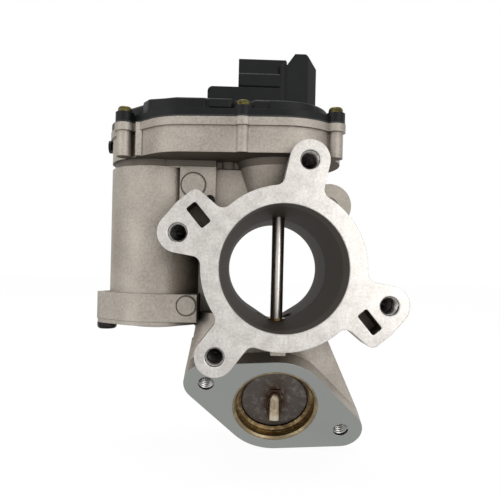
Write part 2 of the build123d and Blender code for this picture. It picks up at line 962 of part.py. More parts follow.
# Spring sleeve and return spring round the bearing boss
spring_top = sector_bottom - free_gap
with BuildPart() as spring_sleeve:
    with BuildSketch(level(spring_pocket_bottom)):
        with Locations((0, shaft_y)):
            Circle(sleeve_outer_radius)
            Circle(sleeve_inner_radius, mode=Mode.SUBTRACT)
    extrude(amount=case_floor_top - spring_pocket_bottom)
write(spring_sleeve, "spring_sleeve")

spring_bottom = spring_pocket_bottom + free_gap / 2
spring_height = spring_top - spring_bottom - 2 * spring_wire_radius
spring_pitch = spring_height / spring_turns
with BuildPart() as return_spring:
    with BuildLine():
        coil = Helix(
            pitch=spring_pitch,
            height=spring_height,
            radius=spring_mean_radius,
            center=(0, shaft_y, spring_bottom + spring_wire_radius),
        )
    with BuildSketch(Plane(origin=coil @ 0, z_dir=coil % 0)):
        RegularPolygon(spring_wire_radius, 6)
    sweep(is_frenet=True)
write(return_spring, "return_spring")

# Idler pin
pin_top = cover_ceiling - slip_gap
write(
    column(idler_x, idler_y, case_floor_top - idler_pin_depth, pin_top, idler_pin_radius), "idler_pin"
)

# Sector gear: the toothed sector on a deeper hub
hub_bore_radius = shaft_radius + slip_gap
with BuildPart() as sector_gear:
    with BuildSketch(level(sector_bottom)):
        with Locations((0, shaft_y)):
            add(sector_sketch())
    extrude(amount=sector_width)
    with BuildSketch(level(sector_hub_bottom)):
        with Locations((0, shaft_y)):
            Circle(sector_hub_radius)
    extrude(amount=sector_bottom - sector_hub_bottom)
    with BuildSketch(level(sector_hub_bottom)):
        with Locations((0, shaft_y)):
            Circle(hub_bore_radius)
    extrude(amount=sector_top - sector_hub_bottom, mode=Mode.SUBTRACT)
write(sector_gear, "sector_gear")

# Idler gear: the small pinion under the large wheel, on one hub
with BuildPart() as idler_gear:
    with BuildSketch(level(sector_bottom - free_gap)):
        with Locations((idler_x, idler_y)):
            add(gear_sketch(idler_small_teeth, idler_bearing_angle + 180 + 180 / idler_small_teeth))
    extrude(amount=wheel_bottom - sector_bottom + free_gap)
    with BuildSketch(level(wheel_bottom)):
        with Locations((idler_x, idler_y)):
            add(gear_sketch(idler_large_teeth, motor_bearing_angle))
    extrude(amount=wheel_width)
    with BuildSketch(level(idler_hub_bottom)):
        with Locations((idler_x, idler_y)):
            Circle(idler_hub_radius)
    extrude(amount=idler_hub_top - idler_hub_bottom)
    with BuildSketch(level(idler_hub_bottom)):
        with Locations((idler_x, idler_y)):
            Circle(idler_pin_radius + slip_gap)
    extrude(amount=cover_top - idler_hub_bottom, mode=Mode.SUBTRACT)
write(idler_gear, "idler_gear")

# Shaft: a threaded end above the shoulder that the sector's drive plate rests on
shaft_bottom = flap_z - shaft_below_flap
shaft_top = plate_top + nut_height + stud_end
with BuildPart() as flap_shaft:
    with BuildSketch(level(shaft_bottom)):
        with Locations((0, shaft_y)):
            Circle(shaft_radius)
    extrude(amount=sector_top - shaft_bottom)
    with BuildSketch(level(sector_top)):
        with Locations((0, shaft_y)):
            Circle(stud_radius)
    extrude(amount=shaft_top - sector_top)
write(flap_shaft, "flap_shaft")

# Slanted disc with the weld collar round the shaft
with BuildPart() as flap_disc:
    with BuildSketch(level(flap_z - shaft_below_flap / 2)):
        with Locations((0, shaft_y)):
            Circle(flap_weld_radius)
    extrude(amount=shaft_below_flap)
    for side in (-1, 1):
        with BuildSketch(port_plane.offset(side * (flap_thickness / 2 + flap_weld_height) - flap_depth)):
            Circle(flap_radius)
        extrude(amount=side * flap_radius, mode=Mode.SUBTRACT)
    with BuildSketch(port_plane.offset(flap_thickness / 2 - flap_depth)):
        Circle(flap_radius)
    extrude(amount=-flap_thickness)
    with BuildSketch(level(flap_z - shaft_below_flap)):
        with Locations((0, shaft_y)):
            Circle(shaft_radius + press_gap)
    extrude(amount=2 * shaft_below_flap, mode=Mode.SUBTRACT)
write(flap_disc, "flap_disc")

# Steel drive plate on the sector, held by the nut
drive_arm_angle = idler_bearing_angle - flap_travel / 2
with BuildPart() as drive_plate:
    with BuildSketch(level(sector_top)):
        with Locations((0, shaft_y)):
            Circle(drive_plate_radius)
        with Locations(Location((0, shaft_y), drive_arm_angle)):
            with Locations((drive_arm_length / 2, 0)):
                SlotOverall(drive_arm_length, drive_arm_width)
        with Locations((0, shaft_y)):
            Circle(stud_radius + slip_gap, mode=Mode.SUBTRACT)
    extrude(amount=drive_plate_thickness)
write(drive_plate, "drive_plate")

with BuildPart() as shaft_nut:
    with BuildSketch(level(plate_top)):
        with Locations((0, shaft_y)):
            RegularPolygon(nut_radius, 6)
            Circle(stud_radius + slip_gap, mode=Mode.SUBTRACT)
    extrude(amount=nut_height)
write(shaft_nut, "shaft_nut")

# Ring magnet round the nut
write(
    column(0, shaft_y, plate_top, plate_top + magnet_height, magnet_radius, magnet_radius - magnet_wall),
    "sensor_magnet",
)

# Motor: can with a nose, bearings, magnets and brush gear
can_top = motor_seat_height - slip_gap
can_bottom = can_top - motor_length
can_inner_radius = motor_radius - motor_can_wall
with BuildPart() as motor_can:
    with BuildSketch(level(can_bottom)):
        with Locations((motor_x, motor_y)):
            Circle(motor_radius)
    extrude(amount=motor_length)
    with BuildSketch(level(can_top)):
        with Locations((motor_x, motor_y)):
            Circle(motor_boss_radius)
    extrude(amount=motor_boss_height)
    with BuildSketch(level(can_bottom)):
        with Locations((motor_x, motor_y)):
            Circle(can_inner_radius)
    extrude(amount=motor_length - motor_can_wall, mode=Mode.SUBTRACT)
    with BuildSketch(level(can_top - motor_can_wall)):
        with Locations((motor_x, motor_y)):
            Circle(motor_bearing_radius + press_gap)
    extrude(amount=motor_bearing_height, mode=Mode.SUBTRACT)
    with BuildSketch(level(can_top)):
        with Locations((motor_x, motor_y)):
            Circle(motor_shaft_radius + free_gap)
    extrude(amount=motor_boss_height, mode=Mode.SUBTRACT)
write(motor_can, "motor_can")
bearing_seat = can_top - motor_can_wall
write(
    column(
        motor_x,
        motor_y,
        bearing_seat,
        bearing_seat + motor_bearing_height - press_gap,
        motor_bearing_radius,
        motor_shaft_radius + slip_gap,
    ),
    "motor_top_bearing",
)

magnet_outer = can_inner_radius - press_gap
magnet_inner = magnet_outer - magnet_thickness
core_radius = magnet_inner - air_gap
core_bottom = bearing_seat - winding_gap - winding_height - core_length
core_top = core_bottom + core_length
with BuildPart() as motor_magnets:
    with BuildSketch(level(core_bottom - magnet_overhang)):
        for turn in (0, 180):
            with BuildLine():
                half = magnet_angle / 2
                outer = CenterArc((motor_x, motor_y), magnet_outer, turn - half, magnet_angle)
                inner = CenterArc((motor_x, motor_y), magnet_inner, turn - half, magnet_angle)
                Line(outer @ 0, inner @ 0)
                Line(outer @ 1, inner @ 1)
            make_face()
    extrude(amount=core_length + 2 * magnet_overhang)
write(motor_magnets, "motor_magnets")

# End cap: a plate across the can's mouth, a bush seat and two brush boxes
brush_bottom = can_bottom + end_cap_spigot + brush_lift
brush_inner = commutator_radius + free_gap
brush_box_inner = brush_inner + brush_reach
brush_box_outer = can_inner_radius - free_gap
brush_box_length = brush_box_outer - brush_spring_room - brush_box_inner
with BuildPart() as motor_end_cap:
    with BuildSketch(level(can_bottom - end_cap_thickness)):
        with Locations((motor_x, motor_y)):
            Circle(motor_radius)
    extrude(amount=end_cap_thickness)
    with BuildSketch(level(can_bottom)):
        with Locations((motor_x, motor_y)):
            Circle(can_inner_radius - slip_gap)
    extrude(amount=end_cap_spigot)
    with BuildSketch(level(can_bottom)):
        with Locations((motor_x, motor_y)):
            for turn in (0, 180):
                with PolarLocations(brush_box_inner + brush_box_length / 2, 1, start_angle=turn):
                    Rectangle(brush_box_length, brush_width + 2 * brush_box_wall)
    extrude(amount=brush_bottom + brush_height + brush_box_wall - can_bottom)
    with BuildSketch(level(brush_bottom)):
        with Locations((motor_x, motor_y)):
            Rectangle(2 * brush_box_outer, brush_width + 2 * slip_gap)
    extrude(amount=brush_height + slip_gap, mode=Mode.SUBTRACT)
    with BuildSketch(level(can_bottom + end_cap_spigot - rear_bush_height)):
        with Locations((motor_x, motor_y)):
            Circle(rear_bush_radius + press_gap)
    extrude(amount=rear_bush_height, mode=Mode.SUBTRACT)
write(motor_end_cap, "motor_end_cap")
rotor_bottom = can_bottom + end_cap_spigot - rear_bush_height
write(
    column(
        motor_x,
        motor_y,
        rotor_bottom,
        rotor_bottom + rear_bush_height,
        rear_bush_radius,
        motor_shaft_radius + slip_gap,
    ),
    "motor_rear_bush",
)
with BuildPart() as motor_brushes:
    with BuildSketch(level(brush_bottom)):
        with Locations((motor_x, motor_y)):
            for turn in (0, 180):
                with PolarLocations(brush_inner + brush_length / 2, 1, start_angle=turn):
                    Rectangle(brush_length, brush_width)
    extrude(amount=brush_height)
write(motor_brushes, "motor_brushes")

# Rotor: shaft, pinion, five-pole core, windings and commutator
pinion_height = wheel_width + 2 * wide_gap
write(
    column(motor_x, motor_y, rotor_bottom + free_gap, pinion_bottom + pinion_height, motor_shaft_radius),
    "motor_shaft",
)
rotor_bore = motor_shaft_radius + press_gap
with BuildPart() as motor_pinion:
    with BuildSketch(level(pinion_bottom)):
        with Locations((motor_x, motor_y)):
            add(gear_sketch(motor_teeth, motor_bearing_angle + 180 + 180 / motor_teeth))
            Circle(rotor_bore, mode=Mode.SUBTRACT)
    extrude(amount=pinion_height)
write(motor_pinion, "motor_pinion")
with BuildPart() as armature_core:
    with BuildSketch(level(core_bottom)):
        with Locations((motor_x, motor_y)):
            Circle(core_radius)
            with PolarLocations(pole_slot_circle, pole_count):
                Circle(pole_slot_radius, mode=Mode.SUBTRACT)
            with PolarLocations(core_radius, pole_count):
                Rectangle(core_radius - pole_slot_circle, pole_slot_mouth, mode=Mode.SUBTRACT)
            Circle(rotor_bore, mode=Mode.SUBTRACT)
    extrude(amount=core_length)
write(armature_core, "armature_core")
with BuildPart() as armature_windings:
    for bottom in (core_bottom - winding_height, core_top):
        with BuildSketch(level(bottom)):
            with Locations((motor_x, motor_y)):
                Circle(core_radius - winding_inset)
                Circle(winding_inner_radius, mode=Mode.SUBTRACT)
        extrude(amount=winding_height)
    with BuildSketch(level(core_bottom)):
        with Locations((motor_x, motor_y)):
            with PolarLocations(pole_slot_circle, pole_count):
                Circle(pole_slot_radius - press_gap)
    extrude(amount=core_length)
write(armature_windings, "armature_windings")
commutator_top = core_bottom - winding_height - free_gap
write(
    column(
        motor_x,
        motor_y,
        commutator_top - commutator_length,
        commutator_top,
        commutator_radius,
        rotor_bore,
    ),
    "commutator",
)

# Spring washer between the end cap and the motor cover
washer_top = can_bottom - end_cap_thickness - slip_gap
washer_bottom = motor_housing_bottom + slip_gap
washer_outer_radius = motor_radius - washer_edge
with BuildPart() as spring_washer:
    with BuildSketch(Plane.XZ.offset(-motor_y)):
        with BuildLine():
            Polyline(
                (motor_x + washer_inner_radius, washer_top),
                (motor_x + washer_inner_radius, washer_top - washer_thickness),
                (motor_x + washer_outer_radius, washer_bottom),
                (motor_x + washer_outer_radius, washer_bottom + washer_thickness),
                close=True,
            )
        make_face()
    revolve(axis=Axis((motor_x, motor_y, 0), (0, 0, 1)))
write(spring_washer, "spring_washer")


# Motor cover: a plate with a shallow dome, a seal ring in its groove, and two screws
seal_radius = motor_bore_radius + seal_offset
dome_radius = motor_bore_radius - motor_dome_step
cover_plate_bottom = motor_housing_bottom - motor_cover_thickness
with BuildPart() as motor_cover:
    extrude(motor_flange_sketch(motor_housing_bottom, free_gap), amount=-motor_cover_thickness)
    with BuildSketch(level(cover_plate_bottom)):
        with Locations((motor_x, motor_y)):
            Circle(dome_radius)
    with BuildSketch(level(cover_plate_bottom - motor_dome_height)):
        with Locations((motor_x, motor_y)):
            Circle(dome_radius - motor_dome_slope)
    loft()
    with BuildSketch(level(motor_housing_bottom)):
        with Locations((motor_x, motor_y)):
            Circle(seal_radius + seal_ring_width / 2)
            Circle(seal_radius - seal_ring_width / 2, mode=Mode.SUBTRACT)
    extrude(amount=-seal_ring_depth, mode=Mode.SUBTRACT)
    extrude(
        motor_screw_sketch(motor_housing_bottom, motor_screw_radius + slip_gap),
        amount=-motor_cover_thickness,
        mode=Mode.SUBTRACT,
    )
write(motor_cover, "motor_cover")
write(
    column(
        motor_x,
        motor_y,
        motor_housing_bottom - seal_ring_depth,
        motor_housing_bottom,
        seal_radius + seal_ring_width / 2 - press_gap,
        seal_radius - seal_ring_width / 2 + press_gap,
    ),
    "motor_cover_seal",
)
with BuildPart() as motor_cover_screws:
    extrude(
        motor_screw_sketch(cover_plate_bottom, motor_screw_head_radius), amount=-motor_screw_head_height
    )
    extrude(
        motor_screw_sketch(cover_plate_bottom, motor_screw_radius - press_gap),
        amount=motor_cover_thickness + motor_screw_length - wide_gap,
    )
write(motor_cover_screws, "motor_cover_screws")

# Gasket on the rim of the gear case
with BuildPart() as cover_gasket:
    with BuildSketch(level(case_top)):
        add(case_outline(case_boss_radius - free_gap, free_gap))
        add(case_plan(case_wall, case_boss_radius), mode=Mode.SUBTRACT)
        add(gear_rooms(), mode=Mode.SUBTRACT)
        add(case_screw_sketch(0, case_screw_radius + slip_gap), mode=Mode.SUBTRACT)
    extrude(amount=gasket_thickness)
write(cover_gasket, "cover_gasket")

# Gear cover: dome and flange, then the hollow connector block, tower and socket
socket_y = tower_front + tower_depth / 2
base_y = tower_front + base_setback
base_depth = tower_depth - 2 * base_setback
base_right = tower_right - tower_corner
socket_middle = (socket_bottom + socket_split) / 2
socket_key_middle = (socket_split - 2 * socket_wall + socket_top) / 2
cover_flange_top = cover_bottom + cover_base
screw_pad_top = cover_flange_top + cover_screw_pad
board_top = cover_ceiling - board_gap
with BuildPart() as gear_cover:
    with BuildSketch(level(cover_bottom)):
        add(case_plan(cover_inset, cover_recess_radius, cover_sector_radius))
    extrude(amount=cover_top - cover_bottom)
    fillet(gear_cover.faces().sort_by(Axis.Z)[-1].edges(), cover_edge)
    with BuildSketch(level(cover_bottom)):
        add(case_outline(case_boss_radius - free_gap, free_gap))
    extrude(amount=cover_base)
    extrude(case_screw_sketch(cover_flange_top, case_boss_radius - free_gap), amount=cover_screw_pad)

    # Connector block, the tower with its sloped top, and the socket's tube
    with BuildSketch(level(cover_ceiling)):
        with Locations((connector_base_left, base_y)):
            Rectangle(base_right - connector_base_left, base_depth, align=Align.MIN)
    extrude(amount=connector_base_top - cover_ceiling)
    fillet(gear_cover.edges().filter_by(Axis.Y).group_by(Axis.Z)[-1].sort_by(Axis.X)[0], connector_base_round)
    with BuildSketch(duct_plane(tower_front)) as tower_outline:
        with BuildLine():
            Polyline(
                (tower_left, cover_ceiling),
                (tower_left, tower_top - tower_slope),
                (tower_left + tower_left_slope, tower_top),
                (tower_right - tower_slope, tower_top),
                (tower_right, tower_top - tower_slope),
                (tower_right, cover_ceiling),
                close=True,
            )
        make_face()
    extrude(amount=-tower_depth)
    tower_corners = gear_cover.edges().filter_by(Axis.Z).filter_by(
        lambda edge: abs(edge.center().X - tower_right) < slip_gap
    )
    chamfer(tower_corners, tower_corner)
    with BuildSketch(Plane.YZ.offset(socket_left)):
        with Locations((socket_y, socket_middle)):
            RectangleRounded(base_depth, socket_split - socket_bottom, socket_wall)
        with Locations((socket_y, socket_key_middle)):
            Rectangle(socket_key_width, socket_top - socket_split + 2 * socket_wall)
    extrude(amount=tower_left - socket_left)

    # Chamber over the gears, and the hollows of the connector block and the tower
    with BuildSketch(level(cover_bottom)):
        add(case_plan(cover_inset + cover_wall, cover_recess_radius + cover_wall, cover_sector_radius))
    extrude(amount=cover_ceiling - cover_bottom, mode=Mode.SUBTRACT)
    with BuildSketch(level(cover_top)):
        with Locations((connector_base_left + tower_wall, base_y + tower_wall)):
            Rectangle(
                base_right - connector_base_left - 2 * tower_wall,
                base_depth - 2 * tower_wall,
                align=Align.MIN,
            )
    extrude(amount=connector_base_top - tower_wall - cover_top, mode=Mode.SUBTRACT)
    with BuildSketch(level(cover_ceiling)):
        with Locations((tower_left + tower_wall, base_y + tower_wall)):
            Rectangle(
                base_right - tower_left - 2 * tower_wall, base_depth - 2 * tower_wall, align=Align.MIN
            )
    extrude(amount=tower_top - tower_cap - cover_ceiling, mode=Mode.SUBTRACT)

    # Socket with a key way, and a slot for each terminal
    with BuildSketch(Plane.YZ.offset(socket_left)):
        with Locations((socket_y, socket_middle)):
            Rectangle(base_depth - 2 * socket_wall, socket_split - socket_bottom - 2 * socket_wall)
        with Locations((socket_y, socket_key_middle)):
            Rectangle(socket_key_width - 2 * socket_wall, socket_top - socket_split)
    extrude(amount=tower_left - socket_back - socket_left, mode=Mode.SUBTRACT)
    with BuildSketch(Plane.YZ.offset(tower_left - socket_back)):
        with Locations((socket_y, socket_middle)):
            with GridLocations(terminal_pitch, 1, terminal_count, 1):
                Rectangle(terminal_width + 2 * press_gap, terminal_thickness + 2 * press_gap)
    extrude(amount=socket_back + tower_wall, mode=Mode.SUBTRACT)

    # Screw holes, the boss that holds the idler pin, and two pegs for the sensor board
    extrude(
        case_screw_sketch(cover_bottom, case_screw_radius + slip_gap),
        amount=screw_pad_top - cover_bottom,
        mode=Mode.SUBTRACT,
    )
    with BuildSketch(level(cover_ceiling)):
        with Locations((idler_x, idler_y)):
            Circle(idler_pin_radius + idler_boss_wall)
    extrude(amount=idler_hub_top + free_gap - cover_ceiling)
    with BuildSketch(level(board_top)):
        with Locations((board_left + board_peg_inset, socket_y)):
            with GridLocations(1, board_peg_pitch, 1, 2):
                Circle(board_peg_radius)
    extrude(amount=board_gap)
    with BuildSketch(level(idler_hub_top)):
        with Locations((idler_x, idler_y)):
            Circle(idler_pin_radius + press_gap)
    extrude(amount=cover_ceiling - idler_hub_top, mode=Mode.SUBTRACT)
write(gear_cover, "gear_cover")

with BuildPart() as cover_screws:
    extrude(case_screw_sketch(screw_pad_top, case_screw_head_radius), amount=case_screw_head_height)
    extrude(
        case_screw_sketch(screw_pad_top, case_screw_radius - press_gap),
        amount=case_top - case_screw_length + wide_gap - screw_pad_top,
    )
write(cover_screws, "cover_screws")

# Sensor board under the cover, its chip over the magnet, and the terminals
terminal_leg_x = tower_left + tower_wall + terminal_leg_gap
with BuildPart() as connector_terminals:
    with BuildSketch(Plane.YZ.offset(tower_left - socket_back - terminal_reach)):
        with Locations((socket_y, socket_middle)):
            with GridLocations(terminal_pitch, 1, terminal_count, 1):
                Rectangle(terminal_width, terminal_thickness)
    extrude(amount=terminal_leg_x + socket_back + terminal_reach - tower_left)
    with BuildSketch(level(board_top)):
        with Locations((terminal_leg_x, socket_y)):
            with GridLocations(1, terminal_pitch, 1, terminal_count):
                Rectangle(terminal_thickness, terminal_width)
    extrude(amount=socket_middle + terminal_thickness / 2 - board_top)
write(connector_terminals, "connector_terminals")
with BuildPart() as sensor_board:
    with BuildSketch(level(board_top)):
        with Locations((board_left, socket_y - board_depth / 2)):
            RectangleRounded(board_right - board_left, board_depth, board_corner, align=Align.MIN)
    extrude(amount=-board_thickness)
write(sensor_board, "sensor_board")
with BuildPart() as sensor_chip:
    with BuildSketch(level(board_top - board_thickness)):
        with Locations((0, shaft_y)):
            Rectangle(chip_size, chip_size)
    extrude(amount=-chip_height)
write(sensor_chip, "sensor_chip")

# Breather plug on the left of the gear case, and the small screw beside the flange
with BuildPart() as breather_plug:
    with BuildSketch(Plane.YZ.offset(motor_x - case_motor_radius)):
        with Locations((motor_y, vent_height)):
            Circle(vent_head_radius)
    extrude(amount=-vent_head_height)
    with BuildSketch(Plane.YZ.offset(motor_x - case_motor_radius)):
        with Locations((motor_y, vent_height)):
            Circle(vent_radius - press_gap)
    extrude(amount=case_wall)
write(breather_plug, "breather_plug")
with BuildPart() as body_screw:
    with BuildSketch(duct_plane(side_boss_front)):
        with Locations(body_screw_spot):
            Circle(body_screw_head_radius)
    extrude(amount=body_screw_head_height)
    with BuildSketch(duct_plane(side_boss_front)):
        with Locations(body_screw_spot):
            Circle(body_screw_radius)
    extrude(amount=wide_gap - body_screw_length)
write(body_screw, "body_screw")
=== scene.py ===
# %% [markdown]
# # An exhaust gas recirculation valve
# The valve is a cast aluminium housing with a milled flange, a tilted gas port, a black moulded
# gear cover and an electric motor. The solids come from the CAD model, in metres, already in
# place. This script gives them their finishes, adds the small screws, threads, weld bead and cast
# forms that the solids leave out, and sets up a plain studio.

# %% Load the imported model
from math import cos, radians, sin, tau

import bpy
import bmesh
from mathutils import Matrix, Vector


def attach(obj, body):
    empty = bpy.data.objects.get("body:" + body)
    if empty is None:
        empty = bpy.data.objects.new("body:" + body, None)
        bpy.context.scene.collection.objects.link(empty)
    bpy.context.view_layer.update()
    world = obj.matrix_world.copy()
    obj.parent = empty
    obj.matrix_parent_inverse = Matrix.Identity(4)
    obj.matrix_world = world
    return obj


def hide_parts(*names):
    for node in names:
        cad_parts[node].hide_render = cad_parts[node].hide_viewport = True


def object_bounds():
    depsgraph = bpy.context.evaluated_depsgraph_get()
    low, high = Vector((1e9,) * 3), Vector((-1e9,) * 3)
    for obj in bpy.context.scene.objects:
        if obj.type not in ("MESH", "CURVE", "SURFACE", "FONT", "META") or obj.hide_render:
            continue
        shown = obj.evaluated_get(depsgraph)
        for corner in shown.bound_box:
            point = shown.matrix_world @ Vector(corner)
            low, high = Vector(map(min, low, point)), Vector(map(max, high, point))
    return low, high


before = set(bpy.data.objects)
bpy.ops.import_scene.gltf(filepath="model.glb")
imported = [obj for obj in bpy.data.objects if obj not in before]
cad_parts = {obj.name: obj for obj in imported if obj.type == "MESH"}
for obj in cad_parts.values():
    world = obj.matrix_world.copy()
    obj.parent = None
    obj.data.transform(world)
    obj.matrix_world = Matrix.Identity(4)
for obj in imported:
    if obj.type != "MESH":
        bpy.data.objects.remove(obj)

cad_low, cad_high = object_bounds()
print("CAD box in mm:", [round(side * 1000, 1) for side in cad_high - cad_low])

# %% [markdown]
# ## Small helpers
# Sizes on a drawing are in millimetres and Blender's are in metres, so one value turns one into
# the other. Colours are written as a paint chart writes them, as sRGB hex, and light is worked
# out in linear values, so one function turns those. One more function adds a shader node, sets
# it and links it, which keeps every material below readable as a list of steps.
#
# Most sockets are picked by name. Where several share one name they are picked by number: the mix
# node has its numbers at 2 and 3 and its colours at 6 and 7, and the map range node takes its old
# limits at 1 and 2 and its new ones at 3 and 4.

# %% Helpers for sizes, colours and nodes
MM = 0.001


def linear(hex_colour):
    """An sRGB hex colour as the linear red, green, blue and alpha that Blender uses."""
    parts = [int(hex_colour[i:i + 2], 16) / 255 for i in (1, 3, 5)]
    return [p / 12.92 if p <= 0.04045 else ((p + 0.055) / 1.055) ** 2.4 for p in parts] + [1.0]


def add_node(tree, kind, inputs=None, **settings):
    """Adds a node, sets its properties, and gives each input a value or a link."""
    node = tree.nodes.new(kind)
    for name, value in settings.items():
        setattr(node, name, value)
    for name, value in (inputs or {}).items():
        if isinstance(value, bpy.types.NodeSocket):
            tree.links.new(value, node.inputs[name])
        else:
            node.inputs[name].default_value = value
    return node


def start_material(name, metallic, roughness):
    """A material with one shader, and the tree to add its other nodes to."""
    material = bpy.data.materials.new(name)
    material.use_nodes = True
    shader = material.node_tree.nodes["Principled BSDF"]
    shader.inputs["Metallic"].default_value = metallic
    shader.inputs["Roughness"].default_value = roughness
    return material, material.node_tree, shader


print("1 mm is", MM, "m; mid grey is", round(linear("#808080")[0], 3))

# %% [markdown]
# ## Broken edges and fine relief
# No edge of a real part is perfectly sharp: moulds, blasting and deburring leave a small round
# that catches a line of light. Modelling it on every edge would cost many faces. The bevel node
# bends the light at the edges instead, and the bump node adds the finish's own relief to that.

# %% Join a finish to its shader
def finish_surface(tree, shader, colour, roughness, height, strength, relief, edge, samples):
    """Links colour and roughness, with a bump of that relief in metres and softened edges."""
    soft_edge = add_node(tree, "ShaderNodeBevel", {"Radius": edge}, samples=samples).outputs[0]
    bump = add_node(
        tree, "ShaderNodeBump",
        {"Strength": strength, "Distance": relief, "Height": height, "Normal": soft_edge},
    ).outputs[0]
    tree.links.new(colour, shader.inputs["Base Color"])
    tree.links.new(roughness, shader.inputs["Roughness"])
    tree.links.new(bump, shader.inputs["Normal"])


# %% [markdown]
# ## Sizes the finishes need
# A machined face is bright because a cutter went over it, and the cast skin beside it is dull.
# Both belong to one casting, so the finish has to know where the cutter went. These are the
# places in the drawing: the front face, the rear face, the bore, the tilted gas flange and the
# holes, and also the ledge under the gear case, which gets painted shade.

# %% Where the casting was machined, and where shade is painted
BORE_RADIUS = 25.3 * MM
REAR_FACE_Y = 70 * MM
REAR_FACE_TOP_Z = 44 * MM
FACE_TOLERANCE = 0.25 * MM
LEDGE_Z = 43 * MM
CASE_BOTTOM_Z = 46 * MM
LEDGE_TOLERANCE = 0.03 * MM

SHAFT_Y = 35 * MM
FLAP_Z = -58.4 * MM
FLAP_CENTRE = Vector((0, SHAFT_Y, FLAP_Z))
PORT_TILT = radians(25)
PORT_DEPTH = 6 * MM
PORT_TOP_Z = -38 * MM
PORT_AXIS = Vector((0, -cos(PORT_TILT), -sin(PORT_TILT)))
PORT_CENTRE = FLAP_CENTRE + PORT_AXIS * PORT_DEPTH
PORT_RIGHT = Vector((1, 0, 0))
PORT_UP = PORT_AXIS.cross(PORT_RIGHT)

FLANGE_THICKNESS = 12 * MM
FLANGE_HOLE_CIRCLE = 42.8 * MM
FLANGE_HOLE_RADIUS = 3.6 * MM
FLANGE_HOLE_REACH = FLANGE_HOLE_RADIUS + 0.5 * MM
FLANGE_HOLE_SPOTS = [
    Vector((cos(radians(angle)), 0, sin(radians(angle)))) * FLANGE_HOLE_CIRCLE
    for angle in (78.0, 233.0, 162.5, 341.8)
]

GAS_TAP_DEPTH = 10 * MM
GAS_TAP_REACH = 3.9 * MM
TAP_SPAN = 32.6 * MM
TAP_SLOPE = radians(-22)
TAP_DIRECTION = PORT_RIGHT * cos(TAP_SLOPE) + PORT_UP * sin(TAP_SLOPE)
GAS_TAP_MOUTHS = [PORT_CENTRE + TAP_DIRECTION * TAP_SPAN, PORT_CENTRE - TAP_DIRECTION * TAP_SPAN]
print("gas port centre in mm:", [round(value / MM, 1) for value in PORT_CENTRE])

# %% [markdown]
# ## Cast aluminium
# The housing is aluminium cast in a metal mould: a warm grey skin with a fine grain left by the
# mould and by blasting. Grain on such castings is about 0.4 mm across; here it is drawn near
# 0.9 mm, as finer grain would be lost between pixels. The recesses get painted shade: the ambient
# occlusion node tells how closed in each spot is, and the skin darkens to a brown grey there.

# %% Skin of the casting
CAST_GRAIN = 0.9 * MM
CAST_PATCH = 14 * MM
RECESS_REACH = 16 * MM


def cast_skin(tree, place):
    """Colour, roughness and grain of a casting skin after blasting, with painted shade in its
    recesses.
    """
    grain = add_node(
        tree, "ShaderNodeTexNoise",
        {"Vector": place, "Scale": 1 / CAST_GRAIN, "Detail": 3.0, "Roughness": 0.6},
    ).outputs["Fac"]
    patches = add_node(
        tree, "ShaderNodeTexNoise", {"Vector": place, "Scale": 1 / CAST_PATCH, "Detail": 4.0}
    ).outputs["Fac"]
    # Grain counts for half and the patches for a third, both about the middle grey
    soft_patches = add_node(
        tree, "ShaderNodeMath", {0: patches, 1: 0.35, 2: 0.075}, operation="MULTIPLY_ADD"
    ).outputs[0]
    mottle = add_node(
        tree, "ShaderNodeMath", {0: grain, 1: 0.5, 2: soft_patches}, operation="MULTIPLY_ADD"
    ).outputs[0]
    skin = add_node(tree, "ShaderNodeValToRGB", {"Fac": mottle})
    dark_end, light_end = skin.color_ramp.elements
    dark_end.position, dark_end.color = 0.3, linear("#867f77")
    light_end.position, light_end.color = 0.7, linear("#b9b2a8")

    # Painted shade: where the ambient occlusion finds a spot closed in, the skin's colour is mixed
    # towards a dark brown grey.
    openness = add_node(
        tree, "ShaderNodeAmbientOcclusion", {"Distance": RECESS_REACH}, samples=6
    ).outputs["AO"]
    outside_painted_shade = add_node(
        tree, "ShaderNodeMapRange", {"Value": openness, 1: 0.1, 2: 0.6}
    ).outputs["Result"]
    colour = add_node(
        tree, "ShaderNodeMix", {0: outside_painted_shade, 6: linear("#544c45"), 7: skin.outputs["Color"]},
        data_type="RGBA",
    ).outputs[2]
    roughness = add_node(
        tree, "ShaderNodeMapRange", {"Value": grain, 3: 0.46, 4: 0.66}
    ).outputs["Result"]
    return colour, roughness, grain


print("grain drawn every", CAST_GRAIN / MM, "mm, patches every", CAST_PATCH / MM, "mm")

# %% [markdown]
# ## Which spots were machined
# The faces could be picked by hand, but a new pack of the solids may number them differently.
# Masks worked out from position hold on any mesh of the same drawing: each is 1 on its own part
# of the housing and 0 elsewhere. A face is found by its height along its own axis, the bore by
# the distance from its axis, and a hole by the distance from the axis of the hole.

